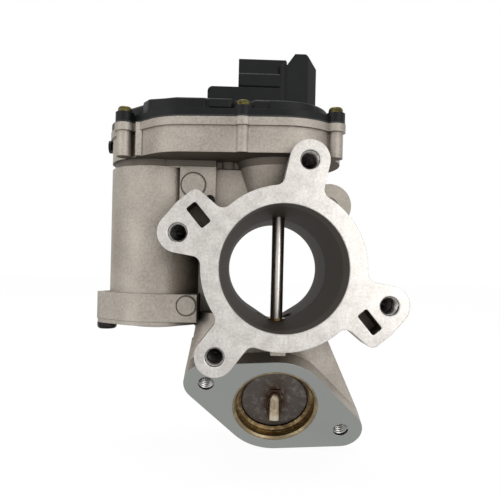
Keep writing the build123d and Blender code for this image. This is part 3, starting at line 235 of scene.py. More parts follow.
# %% Masks from position
def housing_masks(tree, place):
    """A dictionary of masks: the cut faces, the port's face, the bore, the holes and the ledge
    where shade is painted.
    """
    axes = add_node(tree, "ShaderNodeSeparateXYZ", {0: place}).outputs
    flat = add_node(
        tree, "ShaderNodeVectorMath", {0: place, 1: (1, 0, 1)}, operation="MULTIPLY"
    ).outputs[0]
    from_axis = add_node(
        tree, "ShaderNodeVectorMath", {0: flat}, operation="LENGTH"
    ).outputs["Value"]
    from_port = add_node(
        tree, "ShaderNodeVectorMath", {0: place, 1: PORT_CENTRE}, operation="SUBTRACT"
    ).outputs[0]
    port_height = add_node(
        tree, "ShaderNodeVectorMath", {0: from_port, 1: PORT_AXIS}, operation="DOT_PRODUCT"
    ).outputs["Value"]
    out_of_port = add_node(
        tree, "ShaderNodeVectorMath", {0: PORT_AXIS, "Scale": port_height}, operation="SCALE"
    ).outputs[0]
    in_port_plane = add_node(
        tree, "ShaderNodeVectorMath", {0: from_port, 1: out_of_port}, operation="SUBTRACT"
    ).outputs[0]

    masks = {}
    ledge_middle = (LEDGE_Z + CASE_BOTTOM_Z) / 2
    ledge_half = (CASE_BOTTOM_Z - LEDGE_Z) / 2 + LEDGE_TOLERANCE
    for name, value, middle, reach in (
        ("front", axes["Y"], 0.0, FACE_TOLERANCE),
        ("rear", axes["Y"], REAR_FACE_Y, FACE_TOLERANCE),
        ("port", port_height, 0.0, FACE_TOLERANCE),
        ("tap depth", port_height, -GAS_TAP_DEPTH / 2, GAS_TAP_DEPTH / 2),
        ("ledge", axes["Z"], ledge_middle, ledge_half),
    ):
        masks[name] = add_node(
            tree, "ShaderNodeMath", {0: value, 1: middle, 2: reach}, operation="COMPARE"
        ).outputs[0]
    for name, value, limit in (
        ("below case", axes["Z"], REAR_FACE_TOP_Z),
        ("below duct", axes["Z"], PORT_TOP_Z),
        ("bore", from_axis, BORE_RADIUS),
        ("front flange", axes["Y"], FLANGE_THICKNESS),
    ):
        masks[name] = add_node(
            tree, "ShaderNodeMath", {0: value, 1: limit}, operation="LESS_THAN"
        ).outputs[0]

    holes = [(flat, spot, FLANGE_HOLE_REACH, "front flange") for spot in FLANGE_HOLE_SPOTS]
    tap_spots = [mouth - PORT_CENTRE for mouth in GAS_TAP_MOUTHS]
    holes += [(in_port_plane, spot, GAS_TAP_REACH, "tap depth") for spot in tap_spots]
    masks["holes"] = 0.0
    for across, spot, reach, deep_enough in holes:
        from_hole = add_node(
            tree, "ShaderNodeVectorMath", {0: across, 1: spot}, operation="DISTANCE"
        ).outputs["Value"]
        near = add_node(
            tree, "ShaderNodeMath", {0: from_hole, 1: reach}, operation="LESS_THAN"
        ).outputs[0]
        near = add_node(
            tree, "ShaderNodeMath", {0: near, 1: masks[deep_enough]}, operation="MULTIPLY"
        ).outputs[0]
        masks["holes"] = add_node(
            tree, "ShaderNodeMath", {0: near, 1: masks["holes"]}, operation="MAXIMUM"
        ).outputs[0]

    for name, first, second, operation in (
        ("rear", "rear", "below case", "MULTIPLY"),
        ("port", "port", "below duct", "MULTIPLY"),
        ("cut faces", "front", "rear", "MAXIMUM"),
        ("machined", "cut faces", "port", "MAXIMUM"),
        ("machined", "machined", "bore", "MAXIMUM"),
    ):
        masks[name] = add_node(
            tree, "ShaderNodeMath", {0: masks[first], 1: masks[second]}, operation=operation
        ).outputs[0]
    return masks


print(len(FLANGE_HOLE_SPOTS), "flange holes and", len(GAS_TAP_MOUTHS), "tapped holes are masked")

# %% [markdown]
# ## Milled faces
# The sealing faces are milled bright, and the cutter leaves arcs about a centre that lies beside
# the bore. The steps of a real cutter are about 0.1 mm; here they are drawn 0.7 mm apart, so that
# they show. At scale 1 the wave texture's rings lie 0.314 units apart, which sets their scale.
# Two noises, one broad and one fine, stand for handling and for the cutter's wear.

# %% Marks of the cutter
CUTTER_STEP = 0.7 * MM
RING_SPACING = 0.314
CUTTER_CENTRE = Vector((26 * MM, 0, -14 * MM))
HANDLING_PATCH = 5 * MM
WEAR_SPECKLE = 0.9 * MM


def milled_face(tree, place):
    """Colour, roughness and arcs of a milled face."""
    cutter = add_node(
        tree, "ShaderNodeVectorMath", {0: place, 1: CUTTER_CENTRE}, operation="SUBTRACT"
    ).outputs[0]
    arcs = add_node(
        tree, "ShaderNodeTexWave",
        {"Vector": cutter, "Scale": RING_SPACING / CUTTER_STEP, "Distortion": 0.6, "Detail": 2.0},
        wave_type="RINGS", rings_direction="Y",
    ).outputs["Fac"]
    handling = add_node(
        tree, "ShaderNodeTexNoise", {"Vector": cutter, "Scale": 1 / HANDLING_PATCH, "Detail": 3.0}
    ).outputs["Fac"]
    speckle = add_node(
        tree, "ShaderNodeTexNoise", {"Vector": cutter, "Scale": 1 / WEAR_SPECKLE, "Detail": 2.0}
    ).outputs["Fac"]
    wear = add_node(tree, "ShaderNodeMath", {0: handling, 1: speckle}, operation="ADD").outputs[0]
    wear = add_node(tree, "ShaderNodeMapRange", {"Value": wear, 1: 0.7, 2: 1.3}).outputs["Result"]
    colour = add_node(
        tree, "ShaderNodeMix", {0: wear, 6: linear("#b3aea9"), 7: linear("#d2cec9")},
        data_type="RGBA",
    ).outputs[2]
    roughness = add_node(
        tree, "ShaderNodeMapRange", {"Value": wear, 3: 0.34, 4: 0.42}
    ).outputs["Result"]
    faint_arcs = add_node(
        tree, "ShaderNodeMath", {0: arcs, 1: 0.05}, operation="MULTIPLY"
    ).outputs[0]
    return colour, roughness, faint_arcs


print("cutter arcs every", CUTTER_STEP / MM, "mm")

# %% [markdown]
# ## The housing's metal
# One material carries the cast skin and lays each machined finish over it where its mask is 1.
# Later ones lie on top: the ledge under the gear case, darkened as painted shade from the case
# above it, then the holes, whose dark grey is partly painted shade, the bore, the port's greyer
# face and the milled faces. The real bore mirrors only its own dark far side, so its charcoal
# colour is a painted dark reflection, on a finish without metal that hardly shines.

# %% Cast aluminium with and without machined faces
CAST_EDGE = 0.5 * MM
CAST_RELIEF = 0.22 * MM
BORE_SHINE = 0.08


def cast_aluminium(name, machined_faces):
    """Grey cast skin, with the housing's machined faces where machined_faces is true."""
    material, tree, shader = start_material(name, 1.0, 0.5)
    place = add_node(tree, "ShaderNodeTexCoord").outputs["Object"]
    colour, roughness, height = cast_skin(tree, place)
    if machined_faces:
        masks = housing_masks(tree, place)
        milled, milled_roughness, arcs = milled_face(tree, place)
        for mask, tone, gloss in (
            # Painted shade: the ledge under the gear case is a dark grey brown.
            ("ledge", linear("#6f6860"), 0.6),
            # Partly painted shade: the holes' machined wall is darkened to a deep grey.
            ("holes", linear("#5b5855"), 0.35),
            # Painted reflection: the bore's charcoal stands for the dark far end of the duct that
            # it mirrors.
            ("bore", linear("#4a4036"), 0.6),
            ("port", linear("#8f918e"), 0.34),
            ("cut faces", milled, milled_roughness),
        ):
            colour = add_node(
                tree, "ShaderNodeMix", {0: masks[mask], 6: colour, 7: tone}, data_type="RGBA"
            ).outputs[2]
            roughness = add_node(
                tree, "ShaderNodeMix", {0: masks[mask], 2: roughness, 3: gloss}
            ).outputs[0]
        height = add_node(
            tree, "ShaderNodeMix", {0: masks["machined"], 2: height, 3: arcs}
        ).outputs[0]
        for socket, elsewhere, in_bore in (
            ("Metallic", 1.0, 0.0), ("Specular IOR Level", 0.5, BORE_SHINE)
        ):
            level = add_node(
                tree, "ShaderNodeMapRange", {"Value": masks["bore"], 3: elsewhere, 4: in_bore}
            ).outputs["Result"]
            tree.links.new(level, shader.inputs[socket])
    finish_surface(tree, shader, colour, roughness, height, 0.55, CAST_RELIEF, CAST_EDGE, 6)
    return material


housing_metal = cast_aluminium("cast aluminium, milled faces", True)
cover_plate_metal = cast_aluminium("die cast aluminium", False)
print(len(housing_metal.node_tree.nodes), "nodes in the housing's metal")

# %% [markdown]
# ## Black moulded polyamide
# The gear cover and its connector are polyamide with glass fibre, moulded in a spark-eroded
# mould. The eye sees a near-black with a fine even grain and a broad, weak shine. A little noise
# in the height and roughness gives that, with an IOR of 1.5 as for most plastics. The grain of
# such a mould is near 0.1 mm and is drawn 0.45 mm wide here.
#
# The same recipe serves what else is moulded or coated. Gear polyamide is a dark grey with more
# shine, natural polyamide a creamy white, nitrile rubber a dull black, the circuit board's solder
# mask a glossy green and a bonded magnet a slate grey.

# %% Moulded plastics, rubber and the circuit board
MOULD_GRAIN = 0.45 * MM
FLOW_MARK = 9 * MM
MOULD_EDGE = 0.35 * MM


def moulded(name, dark, light, roughness, grain_height, shine=0.5):
    """A plastic or rubber with an even moulded grain."""
    material, tree, shader = start_material(name, 0.0, roughness)
    shader.inputs["Specular IOR Level"].default_value = shine
    place = add_node(tree, "ShaderNodeTexCoord").outputs["Object"]
    grain = add_node(
        tree, "ShaderNodeTexNoise", {"Vector": place, "Scale": 1 / MOULD_GRAIN, "Detail": 2.0}
    ).outputs["Fac"]
    flow = add_node(
        tree, "ShaderNodeTexNoise", {"Vector": place, "Scale": 1 / FLOW_MARK, "Detail": 3.0}
    ).outputs["Fac"]
    tone = add_node(tree, "ShaderNodeValToRGB", {"Fac": flow})
    dark_end, light_end = tone.color_ramp.elements
    dark_end.position, dark_end.color = 0.35, linear(dark)
    light_end.position, light_end.color = 0.7, linear(light)
    gloss = add_node(
        tree, "ShaderNodeMapRange", {"Value": grain, 3: roughness - 0.08, 4: roughness + 0.1}
    ).outputs["Result"]
    finish_surface(
        tree, shader, tone.outputs["Color"], gloss, grain, 0.4, grain_height, MOULD_EDGE, 6
    )
    return material


black_polyamide = moulded(
    "black glass-filled polyamide", "#0a0b0c", "#121315", 0.42, 0.06 * MM, shine=0.2
)
gear_polyamide = moulded("dark gear polyamide", "#242629", "#303237", 0.38, 0.03 * MM)
natural_polyamide = moulded("natural polyamide", "#c9c2ae", "#d8d2c0", 0.45, 0.03 * MM)
seal_rubber = moulded("nitrile rubber", "#121212", "#1c1c1c", 0.62, 0.04 * MM)
board_green = moulded("green solder mask", "#123d27", "#1b5236", 0.3, 0.01 * MM)
bonded_magnet = moulded("bonded magnet", "#1b1b1d", "#2a2a2d", 0.5, 0.02 * MM)
print("mould grain drawn every", MOULD_GRAIN / MM, "mm")

# %% [markdown]
# ## Steels, bronze, copper and plating
# Ground steel has hair lines round the shaft, stamped steel a faint blotchy rolled skin, and
# yellow zinc plating shows thin-film tints from straw to green. Each is a metal with its own
# colour, so one recipe with two tones, a stretched noise and a roughness serves them all. The
# three numbers say how much closer together the marks are along each axis.
#
# Oiled spring steel is blue grey, zinc coated steel a pale grey with long soft streaks, and
# bearing steel is ground nearly white. Sintered bronze is a dull brown with a grain as fine as its
# powder, enamelled copper a warm red in lines like its turns of wire, and tinned brass a pale
# straw. Black zinc is a soft near-black.

# %% Plain metals
METAL_EDGE = 0.2 * MM
METAL_RELIEF = 0.04 * MM


def worked_metal(name, first, second, roughness, streaks, patch):
    """A metal in two tones, with marks squeezed by the three numbers in streaks."""
    material, tree, shader = start_material(name, 1.0, roughness)
    place = add_node(tree, "ShaderNodeTexCoord").outputs["Object"]
    along = add_node(
        tree, "ShaderNodeVectorMath", {0: place, 1: streaks}, operation="MULTIPLY"
    ).outputs[0]
    marks = add_node(
        tree, "ShaderNodeTexNoise", {"Vector": along, "Scale": 1 / patch, "Detail": 4.0}
    ).outputs["Fac"]
    tone = add_node(tree, "ShaderNodeValToRGB", {"Fac": marks})
    dark_end, light_end = tone.color_ramp.elements
    dark_end.position, dark_end.color = 0.32, linear(first)
    light_end.position, light_end.color = 0.68, linear(second)
    gloss = add_node(
        tree, "ShaderNodeMapRange", {"Value": marks, 3: roughness * 0.75, 4: roughness * 1.3}
    ).outputs["Result"]
    finish_surface(
        tree, shader, tone.outputs["Color"], gloss, marks, 0.2, METAL_RELIEF, METAL_EDGE, 4
    )
    return material


EVEN = (1, 1, 1)
ground_steel = worked_metal("ground steel", "#cfcac4", "#e2dfdb", 0.2, (1, 1, 6), 1.5 * MM)
stamped_steel = worked_metal("stamped steel", "#8f8e8c", "#a8a6a3", 0.36, EVEN, 2.5 * MM)
spring_steel = worked_metal("oiled spring steel", "#55565a", "#74757a", 0.32, EVEN, 2 * MM)
zinc_steel = worked_metal("zinc coated steel", "#a9acae", "#c2c4c5", 0.34, (1, 1, 0.3), 3 * MM)
bearing_steel = worked_metal("bearing steel", "#b5b4b2", "#cfcecb", 0.22, (1, 1, 5), 2 * MM)
sintered_bronze = worked_metal("sintered bronze", "#6e5a3c", "#9c8250", 0.38, EVEN, 0.7 * MM)
enamelled_copper = worked_metal("enamelled copper", "#8c4a24", "#c0703a", 0.3, (1, 1, 8), 1.2 * MM)
tinned_brass = worked_metal("tinned brass", "#c2b68e", "#d9d1b4", 0.3, (4, 1, 1), 2 * MM)
yellow_zinc = worked_metal("yellow zinc plating", "#38331f", "#6e663c", 0.34, EVEN, 1.2 * MM)
black_zinc = worked_metal("black zinc plating", "#1d1c1c", "#343230", 0.42, EVEN, 1.2 * MM)
print(len(bpy.data.materials), "materials so far")

# %% [markdown]
# ## Heat-tinted steel
# The seat ring and the disc sit in exhaust gas, and both were welded or run hot. Steel that has
# been hot carries an oxide film, straw where it was warm, then brown, purple and blue. The ring
# is tinted by depth into the port, the shaft by height and the disc by distance from its middle,
# so each gets a ramp of those colours read along a distance, broken up with noise.

# %% Tints along a distance
TINT_BLOTCH = 4 * MM
TURNING_MARK = 0.7 * MM
SCUFF_PATCH = 2.6 * MM
TINT_EDGE = 0.25 * MM
TINT_RELIEF = 0.05 * MM


def tinted_steel(name, tints, scuff, start, direction, span, roughness, marks, squeeze=EVEN):
    """Steel whose oxide colours run along a distance from a point.

    With a direction the distance is measured along it, otherwise all round the point, and squeeze
    makes it count for more along the axes where the tint ends sooner. Scuff is the colour where the
    film is rubbed off, and marks is how strongly the turning marks show.
    """
    material, tree, shader = start_material(name, 1.0, roughness)
    place = add_node(tree, "ShaderNodeTexCoord").outputs["Object"]
    offset = add_node(
        tree, "ShaderNodeVectorMath", {0: place, 1: start}, operation="SUBTRACT"
    ).outputs[0]
    if direction:
        distance = add_node(
            tree, "ShaderNodeVectorMath", {0: offset, 1: direction}, operation="DOT_PRODUCT"
        ).outputs["Value"]
    else:
        offset = add_node(
            tree, "ShaderNodeVectorMath", {0: offset, 1: squeeze}, operation="MULTIPLY"
        ).outputs[0]
        distance = add_node(
            tree, "ShaderNodeVectorMath", {0: offset}, operation="LENGTH"
        ).outputs["Value"]
    blotches = add_node(
        tree, "ShaderNodeTexNoise", {"Vector": place, "Scale": 1 / TINT_BLOTCH, "Detail": 4.0}
    ).outputs["Fac"]
    wander = add_node(
        tree, "ShaderNodeMath", {0: blotches, 1: span * 0.5, 2: -span * 0.25},
        operation="MULTIPLY_ADD",
    ).outputs[0]
    run = add_node(tree, "ShaderNodeMath", {0: distance, 1: wander}, operation="ADD").outputs[0]
    along = add_node(tree, "ShaderNodeMath", {0: run, 1: span}, operation="DIVIDE").outputs[0]
    ramp = add_node(tree, "ShaderNodeValToRGB", {"Fac": along})
    first, last = ramp.color_ramp.elements
    first.position, last.position = tints[0][0], tints[-1][0]
    first.color, last.color = linear(tints[0][1]), linear(tints[-1][1])
    for stop, colour in tints[1:-1]:
        ramp.color_ramp.elements.new(stop).color = linear(colour)
    gloss = add_node(
        tree, "ShaderNodeMapRange", {"Value": blotches, 3: roughness - 0.06, 4: roughness + 0.14}
    ).outputs["Result"]
    turned = add_node(
        tree, "ShaderNodeTexNoise", {"Vector": place, "Scale": 1 / TURNING_MARK, "Detail": 2.0}
    ).outputs["Fac"]
    rubbed = add_node(
        tree, "ShaderNodeTexNoise",
        {"Vector": place, "Scale": 1 / SCUFF_PATCH, "Detail": 5.0, "Roughness": 0.6},
    ).outputs["Fac"]
    rubbed = add_node(
        tree, "ShaderNodeMapRange", {"Value": rubbed, 1: 0.5, 2: 0.72, 3: 0.0, 4: 0.6}
    ).outputs["Result"]
    tone = add_node(
        tree, "ShaderNodeMix", {0: rubbed, 6: ramp.outputs["Color"], 7: linear(scuff)},
        data_type="RGBA",
    ).outputs[2]
    finish_surface(tree, shader, tone, gloss, turned, marks, TINT_RELIEF, TINT_EDGE, 4)
    return material


# %% Tints of the seat ring, the disc and the shaft
SEAT_RING_DEPTH = 9 * MM
DISC_TINT_REACH = 14.5 * MM
SHAFT_END = Vector((0, SHAFT_Y, -70 * MM))
SHAFT_TINT_REACH = 60 * MM
seat_tint = tinted_steel(
    "heat-tinted seat steel",
    [(0.0, "#261d17"), (0.3, "#3a2d23"), (0.55, "#5a4933"), (0.8, "#84704e"), (1.0, "#766b57")],
    scuff="#a89770", start=PORT_CENTRE - PORT_AXIS * SEAT_RING_DEPTH, direction=PORT_AXIS,
    span=SEAT_RING_DEPTH, roughness=0.32, marks=0.5,
)
disc_tint = tinted_steel(
    "heat-tinted disc steel",
    [(0.0, "#21150f"), (0.34, "#33221a"), (0.5, "#3f312a"), (0.7, "#463d37"), (1.0, "#504a46")],
    scuff="#7b7672", start=FLAP_CENTRE, direction=None,
    span=DISC_TINT_REACH, roughness=0.36, marks=0.4, squeeze=(1.9, 1, 1),
)
shaft_tint = tinted_steel(
    "ground shaft steel",
    [(0.0, "#b9b0a0"), (0.1, "#a3977f"), (0.24, "#6d5744"), (0.42, "#a59c90"), (0.62, "#bfbab4")],
    scuff="#c4bcb0", start=SHAFT_END, direction=Vector((0, 0, 1)),
    span=SHAFT_TINT_REACH, roughness=0.27, marks=0.05,
)
tint_reaches = (SEAT_RING_DEPTH, DISC_TINT_REACH, SHAFT_TINT_REACH)
print("tints run over", [round(reach / MM, 1) for reach in tint_reaches], "mm")

# %% [markdown]
# ## Dress the solids
# Each solid that already has the right shape keeps its mesh and only gets its finish. Assigning
# to the object's material slots leaves the geometry as the drawing made it. The carbon brushes
# share the magnets' slate grey, as both are pressed from dark powder.

# %% Give every solid its finish
finish_of = {
    "valve_body": housing_metal,
    "motor_cover": cover_plate_metal,
    "gear_cover": black_polyamide,
    "motor_end_cap": black_polyamide,
    "breather_plug": black_polyamide,
    "sensor_chip": black_polyamide,
    "motor_brushes": bonded_magnet,
    "sector_gear": gear_polyamide,
    "idler_gear": gear_polyamide,
    "spring_sleeve": natural_polyamide,
    "cover_gasket": seal_rubber,
    "motor_cover_seal": seal_rubber,
    "shaft_seal": seal_rubber,
    "sensor_board": board_green,
    "motor_magnets": bonded_magnet,
    "sensor_magnet": bonded_magnet,
    "flap_shaft": shaft_tint,
    "motor_shaft": ground_steel,
    "idler_pin": ground_steel,
    "drive_plate": stamped_steel,
    "armature_core": stamped_steel,
    "shaft_nut": stamped_steel,
    "return_spring": spring_steel,
    "spring_washer": spring_steel,
    "motor_can": zinc_steel,
    "upper_bearing": bearing_steel,
    "motor_top_bearing": bearing_steel,
    "lower_bush": sintered_bronze,
    "motor_rear_bush": sintered_bronze,
    "motor_pinion": sintered_bronze,
    "armature_windings": enamelled_copper,
    "commutator": enamelled_copper,
    "connector_terminals": tinned_brass,
    "seat_ring": seat_tint,
    "flap_disc": disc_tint,
    "cover_screws": yellow_zinc,
    "motor_cover_screws": black_zinc,
    "body_screw": black_zinc,
}
for node_name, material in finish_of.items():
    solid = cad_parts[node_name]
    for slot in solid.material_slots:
        slot.material = material
undressed = sorted(set(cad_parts) - set(finish_of))
print("dressed", len(finish_of), "solids; still plain:", undressed)

# %% [markdown]
# ## Pieces built point by point
# The small pieces below are all built in the same way: loops of points, faces between each loop
# and the next, and a mesh made from them. A loop needs only as many points as its curve asks for,
# and faces between loops stay clean quads, which a cut with a boolean would not give.

# %% Helpers for pieces made of loops
CREASE = radians(35)


def bridge(shape, first, second):
    """Faces between two closed loops with the same number of points."""
    for step in range(len(first)):
        after = (step + 1) % len(first)
        shape.faces.new((first[step], first[after], second[after], second[step]))


def piece_from(name, shape, material, place=Matrix.Identity(4)):
    """An object with the mesh of shape, its faces turned outward, moved by place."""
    bmesh.ops.recalc_face_normals(shape, faces=shape.faces)
    mesh = bpy.data.meshes.new(name)
    shape.to_mesh(mesh)
    shape.free()
    mesh.transform(place)
    mesh.materials.append(material)
    piece = bpy.data.objects.new(name, mesh)
    bpy.context.scene.collection.objects.link(piece)
    return piece


def smooth_between_creases(piece):
    """Smooth shading that stops at edges sharper than the crease angle."""
    piece.data.shade_smooth()
    piece.data.set_sharp_from_angle(angle=CREASE)


print("edges over", round(CREASE / radians(1)), "degrees stay sharp")

# %% [markdown]
# ## Screws with a six-lobed socket
# The drawing has a plain head on a plain shank. A real one has a rounded rim and a six-lobed
# socket. Every ring of the screw has the same number of points, so rings can be stacked like a
# lathe profile while the socket's ring swings in and out six times a turn.

# %% A function for a piece made of stacked rings
RING_POINTS = 48
SOCKET_LOBES = 6


def stacked_rings(name, rings, centre, axis, material, body):
    """A closed piece of rings (radius, lobe depth, height along the axis) from end to end."""
    turn = Vector(axis).to_track_quat("Z", "Y").to_matrix().to_4x4()
    shape = bmesh.new()
    loops = []
    for radius, lobe, height in rings:
        loop = []
        for step in range(RING_POINTS):
            angle = tau * step / RING_POINTS
            reach = radius + lobe * cos(SOCKET_LOBES * angle)
            point = Vector((reach * cos(angle), reach * sin(angle), height))
            loop.append(shape.verts.new(point * MM))
        loops.append(loop)
    for lower, upper in zip(loops, loops[1:]):
        bridge(shape, lower, upper)
    for loop, height in ((loops[0], rings[0][2]), (loops[-1], rings[-1][2])):
        middle = shape.verts.new((0, 0, height * MM))
        for step in range(RING_POINTS):
            after = (step + 1) % RING_POINTS
            shape.faces.new((loop[step], loop[after], middle))
    piece = piece_from(name, shape, material, Matrix.Translation(centre) @ turn)
    smooth_between_creases(piece)
    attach(piece, body)
    return piece


def socket_screw(name, centre, axis, head, height, shank, reach, material):
    """A screw whose head stands on centre, with radii, height and reach in mm."""
    socket = head * 0.46
    rings = [
        (shank * 0.6, 0, -reach),
        (shank, 0, -reach + shank * 0.5),
        (shank, 0, -0.05),
        (head, 0, 0.0),
        (head, 0, height * 0.55),
        (head * 0.93, 0, height * 0.85),
        (head * 0.8, 0, height),
        (socket * 1.12, 0, height),
        (socket, socket * 0.13, height - 0.1),
        (socket, socket * 0.13, height * 0.3),
    ]
    return stacked_rings(name, rings, centre, axis, material, "housing")


print("each ring has", RING_POINTS, "points")

# %% Six screws of the gear cover
COVER_SCREW_SPOTS = [
    (-67.3, 24.4), (-17.0, 11.5), (21.4, 17.2), (19.0, 57.0), (-16.0, 66.0), (-69.0, 64.5),
]
COVER_SCREW_SEAT = 64.6
for number, (x, y) in enumerate(COVER_SCREW_SPOTS):
    socket_screw(
        f"cover_screw_{number + 1}", Vector((x, y, COVER_SCREW_SEAT)) * MM, (0, 0, 1),
        head=3.0, height=2.4, shank=1.95, reach=16.9, material=yellow_zinc,
    )
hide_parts("cover_screws")

# %% Two screws of the motor cover, and the small one beside the flange
MOTOR_AXIS_X, MOTOR_AXIS_Y = -55.411, 45.992
MOTOR_SCREW_CIRCLE = 22.3
MOTOR_PLATE_BOTTOM = -25.8
for number, angle in enumerate((200, 20)):
    spot = Vector((
        MOTOR_AXIS_X + MOTOR_SCREW_CIRCLE * cos(radians(angle)),
        MOTOR_AXIS_Y + MOTOR_SCREW_CIRCLE * sin(radians(angle)),
        MOTOR_PLATE_BOTTOM,
    )) * MM
    socket_screw(
        f"motor_cover_screw_{number + 1}", spot, (0, 0, -1),
        head=4.3, height=2.8, shank=1.7, reach=13.0, material=black_zinc,
    )
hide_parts("motor_cover_screws")

FLANGE_SCREW_SPOT = Vector((-30.4, 24.8, 28.6)) * MM
flange_screw = socket_screw(
    "flange_side_screw", FLANGE_SCREW_SPOT, (0, -1, 0),
    head=2.2, height=1.6, shank=1.45, reach=7.2, material=black_zinc,
)
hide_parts("body_screw")

# %% [markdown]
# ## Threads
# The two holes of the gas flange are tapped M8, and their bright threads show. The four blind
# holes of the front flange get the same ridge inside their mouths. A thread is one ridge wound
# round the hole. It is built as a strip with a triangle for its section, stepped along a helix,
# which stays round and sharp at any zoom.

# %% Tapped threads
THREAD_PITCH = 1.25
THREAD_DEPTH = 0.5
THREAD_HALF_WIDTH = 0.42
THREAD_START = 0.9
STEPS_PER_TURN = 32
GAS_THREAD_RADIUS = 3.42
GAS_THREAD_LENGTH = 8.0
FLANGE_THREAD_RADIUS = 3.62
FLANGE_THREAD_LENGTH = 7.0
cut_thread = worked_metal("fresh cut aluminium thread", "#8d8b87", "#b5b3af", 0.3, EVEN, 1 * MM)


def tapped_thread(name, mouth, axis, wall, reach):
    """A helical ridge inside a tapped hole whose mouth is at that place."""
    turn = Vector(axis).to_track_quat("Z", "Y").to_matrix().to_4x4()
    crest = wall - THREAD_DEPTH
    outline = ((wall, THREAD_HALF_WIDTH), (crest, 0.0), (wall, -THREAD_HALF_WIDTH))
    shape = bmesh.new()
    sections = []
    for step in range(int(reach / THREAD_PITCH * STEPS_PER_TURN) + 1):
        angle = tau * step / STEPS_PER_TURN
        height = -THREAD_START - THREAD_PITCH * step / STEPS_PER_TURN
        sections.append([
            shape.verts.new(Vector((radius * cos(angle), radius * sin(angle), height + rise)) * MM)
            for radius, rise in outline
        ])
    for first, second in zip(sections, sections[1:]):
        bridge(shape, first, second)
    shape.faces.new(sections[0])
    shape.faces.new(list(reversed(sections[-1])))
    piece = piece_from(name, shape, cut_thread, Matrix.Translation(mouth) @ turn)
    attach(piece, "housing")


for side, mouth in zip(("right", "left"), GAS_TAP_MOUTHS):
    tapped_thread(f"gas_thread_{side}", mouth, PORT_AXIS, GAS_THREAD_RADIUS, GAS_THREAD_LENGTH)
for number, mouth in enumerate(FLANGE_HOLE_SPOTS):
    tapped_thread(
        f"flange_thread_{number + 1}", mouth, (0, -1, 0), FLANGE_THREAD_RADIUS, FLANGE_THREAD_LENGTH
    )
print("threads at", THREAD_PITCH, "mm pitch")

# %% [markdown]
# ## Weld bead on the disc
# The disc is welded to the shaft. The shaft is upright and the disc leans, so the weld follows a
# long ellipse. A weld is a row of overlapping drops, so the bead is a closed tube along that
# ellipse whose radius swells and shrinks a little, dark with scale.

# %% Weld bead
WELD_PATH_RADIUS = 3.0
WELD_LIFT = 1.5
WELD_BEAD = 0.6
WELD_REACH = 7.5
WELD_DROPS = 22
WELD_STEPS = 176
WELD_SIDES = 10
TANGENT_STEP = 0.02
welded_steel = worked_metal("weld scale", "#241a15", "#5a4536", 0.4, EVEN, 0.8 * MM)


def weld_point(angle):
    """A point of the ellipse where an upright tube meets the leaning disc's face."""
    x = WELD_PATH_RADIUS * cos(angle)
    y = WELD_PATH_RADIUS * sin(angle)
    z = -(WELD_LIFT + y * cos(PORT_TILT)) / sin(PORT_TILT)
    return Vector((x, y, max(-WELD_REACH, z))) * MM + FLAP_CENTRE


def weld_bead():
    """A closed tube along the weld, swollen at each drop."""
    shape = bmesh.new()
    loops = []
    for step in range(WELD_STEPS):
        angle = tau * step / WELD_STEPS
        here = weld_point(angle)
        along = (weld_point(angle + TANGENT_STEP) - weld_point(angle - TANGENT_STEP)).normalized()
        outward = Vector((cos(angle), sin(angle), 0))
        side = along.cross(outward).normalized()
        outward = side.cross(along).normalized()
        radius = WELD_BEAD * (0.85 + 0.15 * cos(WELD_DROPS * angle)) * MM
        turns = [tau * corner / WELD_SIDES for corner in range(WELD_SIDES)]
        loops.append([
            shape.verts.new(here + (outward * cos(turn) + side * sin(turn)) * radius)
            for turn in turns
        ])
    for first, second in zip(loops, loops[1:] + loops[:1]):
        bridge(shape, first, second)
    piece = piece_from("disc_weld", shape, welded_steel)
    piece.data.shade_smooth()
    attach(piece, "flap")
    return piece


bead = weld_bead()
print("weld bead of", len(bead.data.vertices), "points")

# %% [markdown]
# ## Forms that the solids leave out
# The casting is closed between the side boss and the bearing tower by a web with the same ledge
# under the gear case. The black cover has raised panels with a moat round its middle screw, and
# its tower rounds off into the socket. Each is a slab: a plan drawn with the few points it needs,
# given a height, with its edges broken by a bevel as a mould breaks them. Plans and heights are
# in millimetres.

# %% A function for a slab with soft edges
def slab(name, plan, bottom, tops, bevel, material):
    """A piece with that plan, from bottom up to one height, or to one height for each point."""
    if not isinstance(tops, list):
        tops = [tops] * len(plan)
    shape = bmesh.new()
    low_ring = [shape.verts.new(Vector((x, y, bottom)) * MM) for x, y in plan]
    high_ring = [shape.verts.new(Vector((x, y, top)) * MM) for (x, y), top in zip(plan, tops)]
    bridge(shape, low_ring, high_ring)
    shape.faces.new(low_ring)
    shape.faces.new(high_ring)
    piece = piece_from(name, shape, material)
    smooth_between_creases(piece)
    soft = piece.modifiers.new("broken edges", "BEVEL")
    soft.width = bevel * MM
    soft.segments = 2
    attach(piece, "housing")


# %% Cast web under the gear case
WEB_LEFT, WEB_RIGHT = -30.0, -12.0
WEB_FRONT, WEB_BACK = 28.0, 38.5
WEB_BOTTOM = 24.5
web_plan = [
    (WEB_LEFT, WEB_FRONT), (WEB_RIGHT, WEB_FRONT), (WEB_RIGHT, WEB_BACK), (WEB_LEFT, WEB_BACK),
]
slab("cast_web", web_plan, WEB_BOTTOM, LEDGE_Z / MM, 0.6, housing_metal)

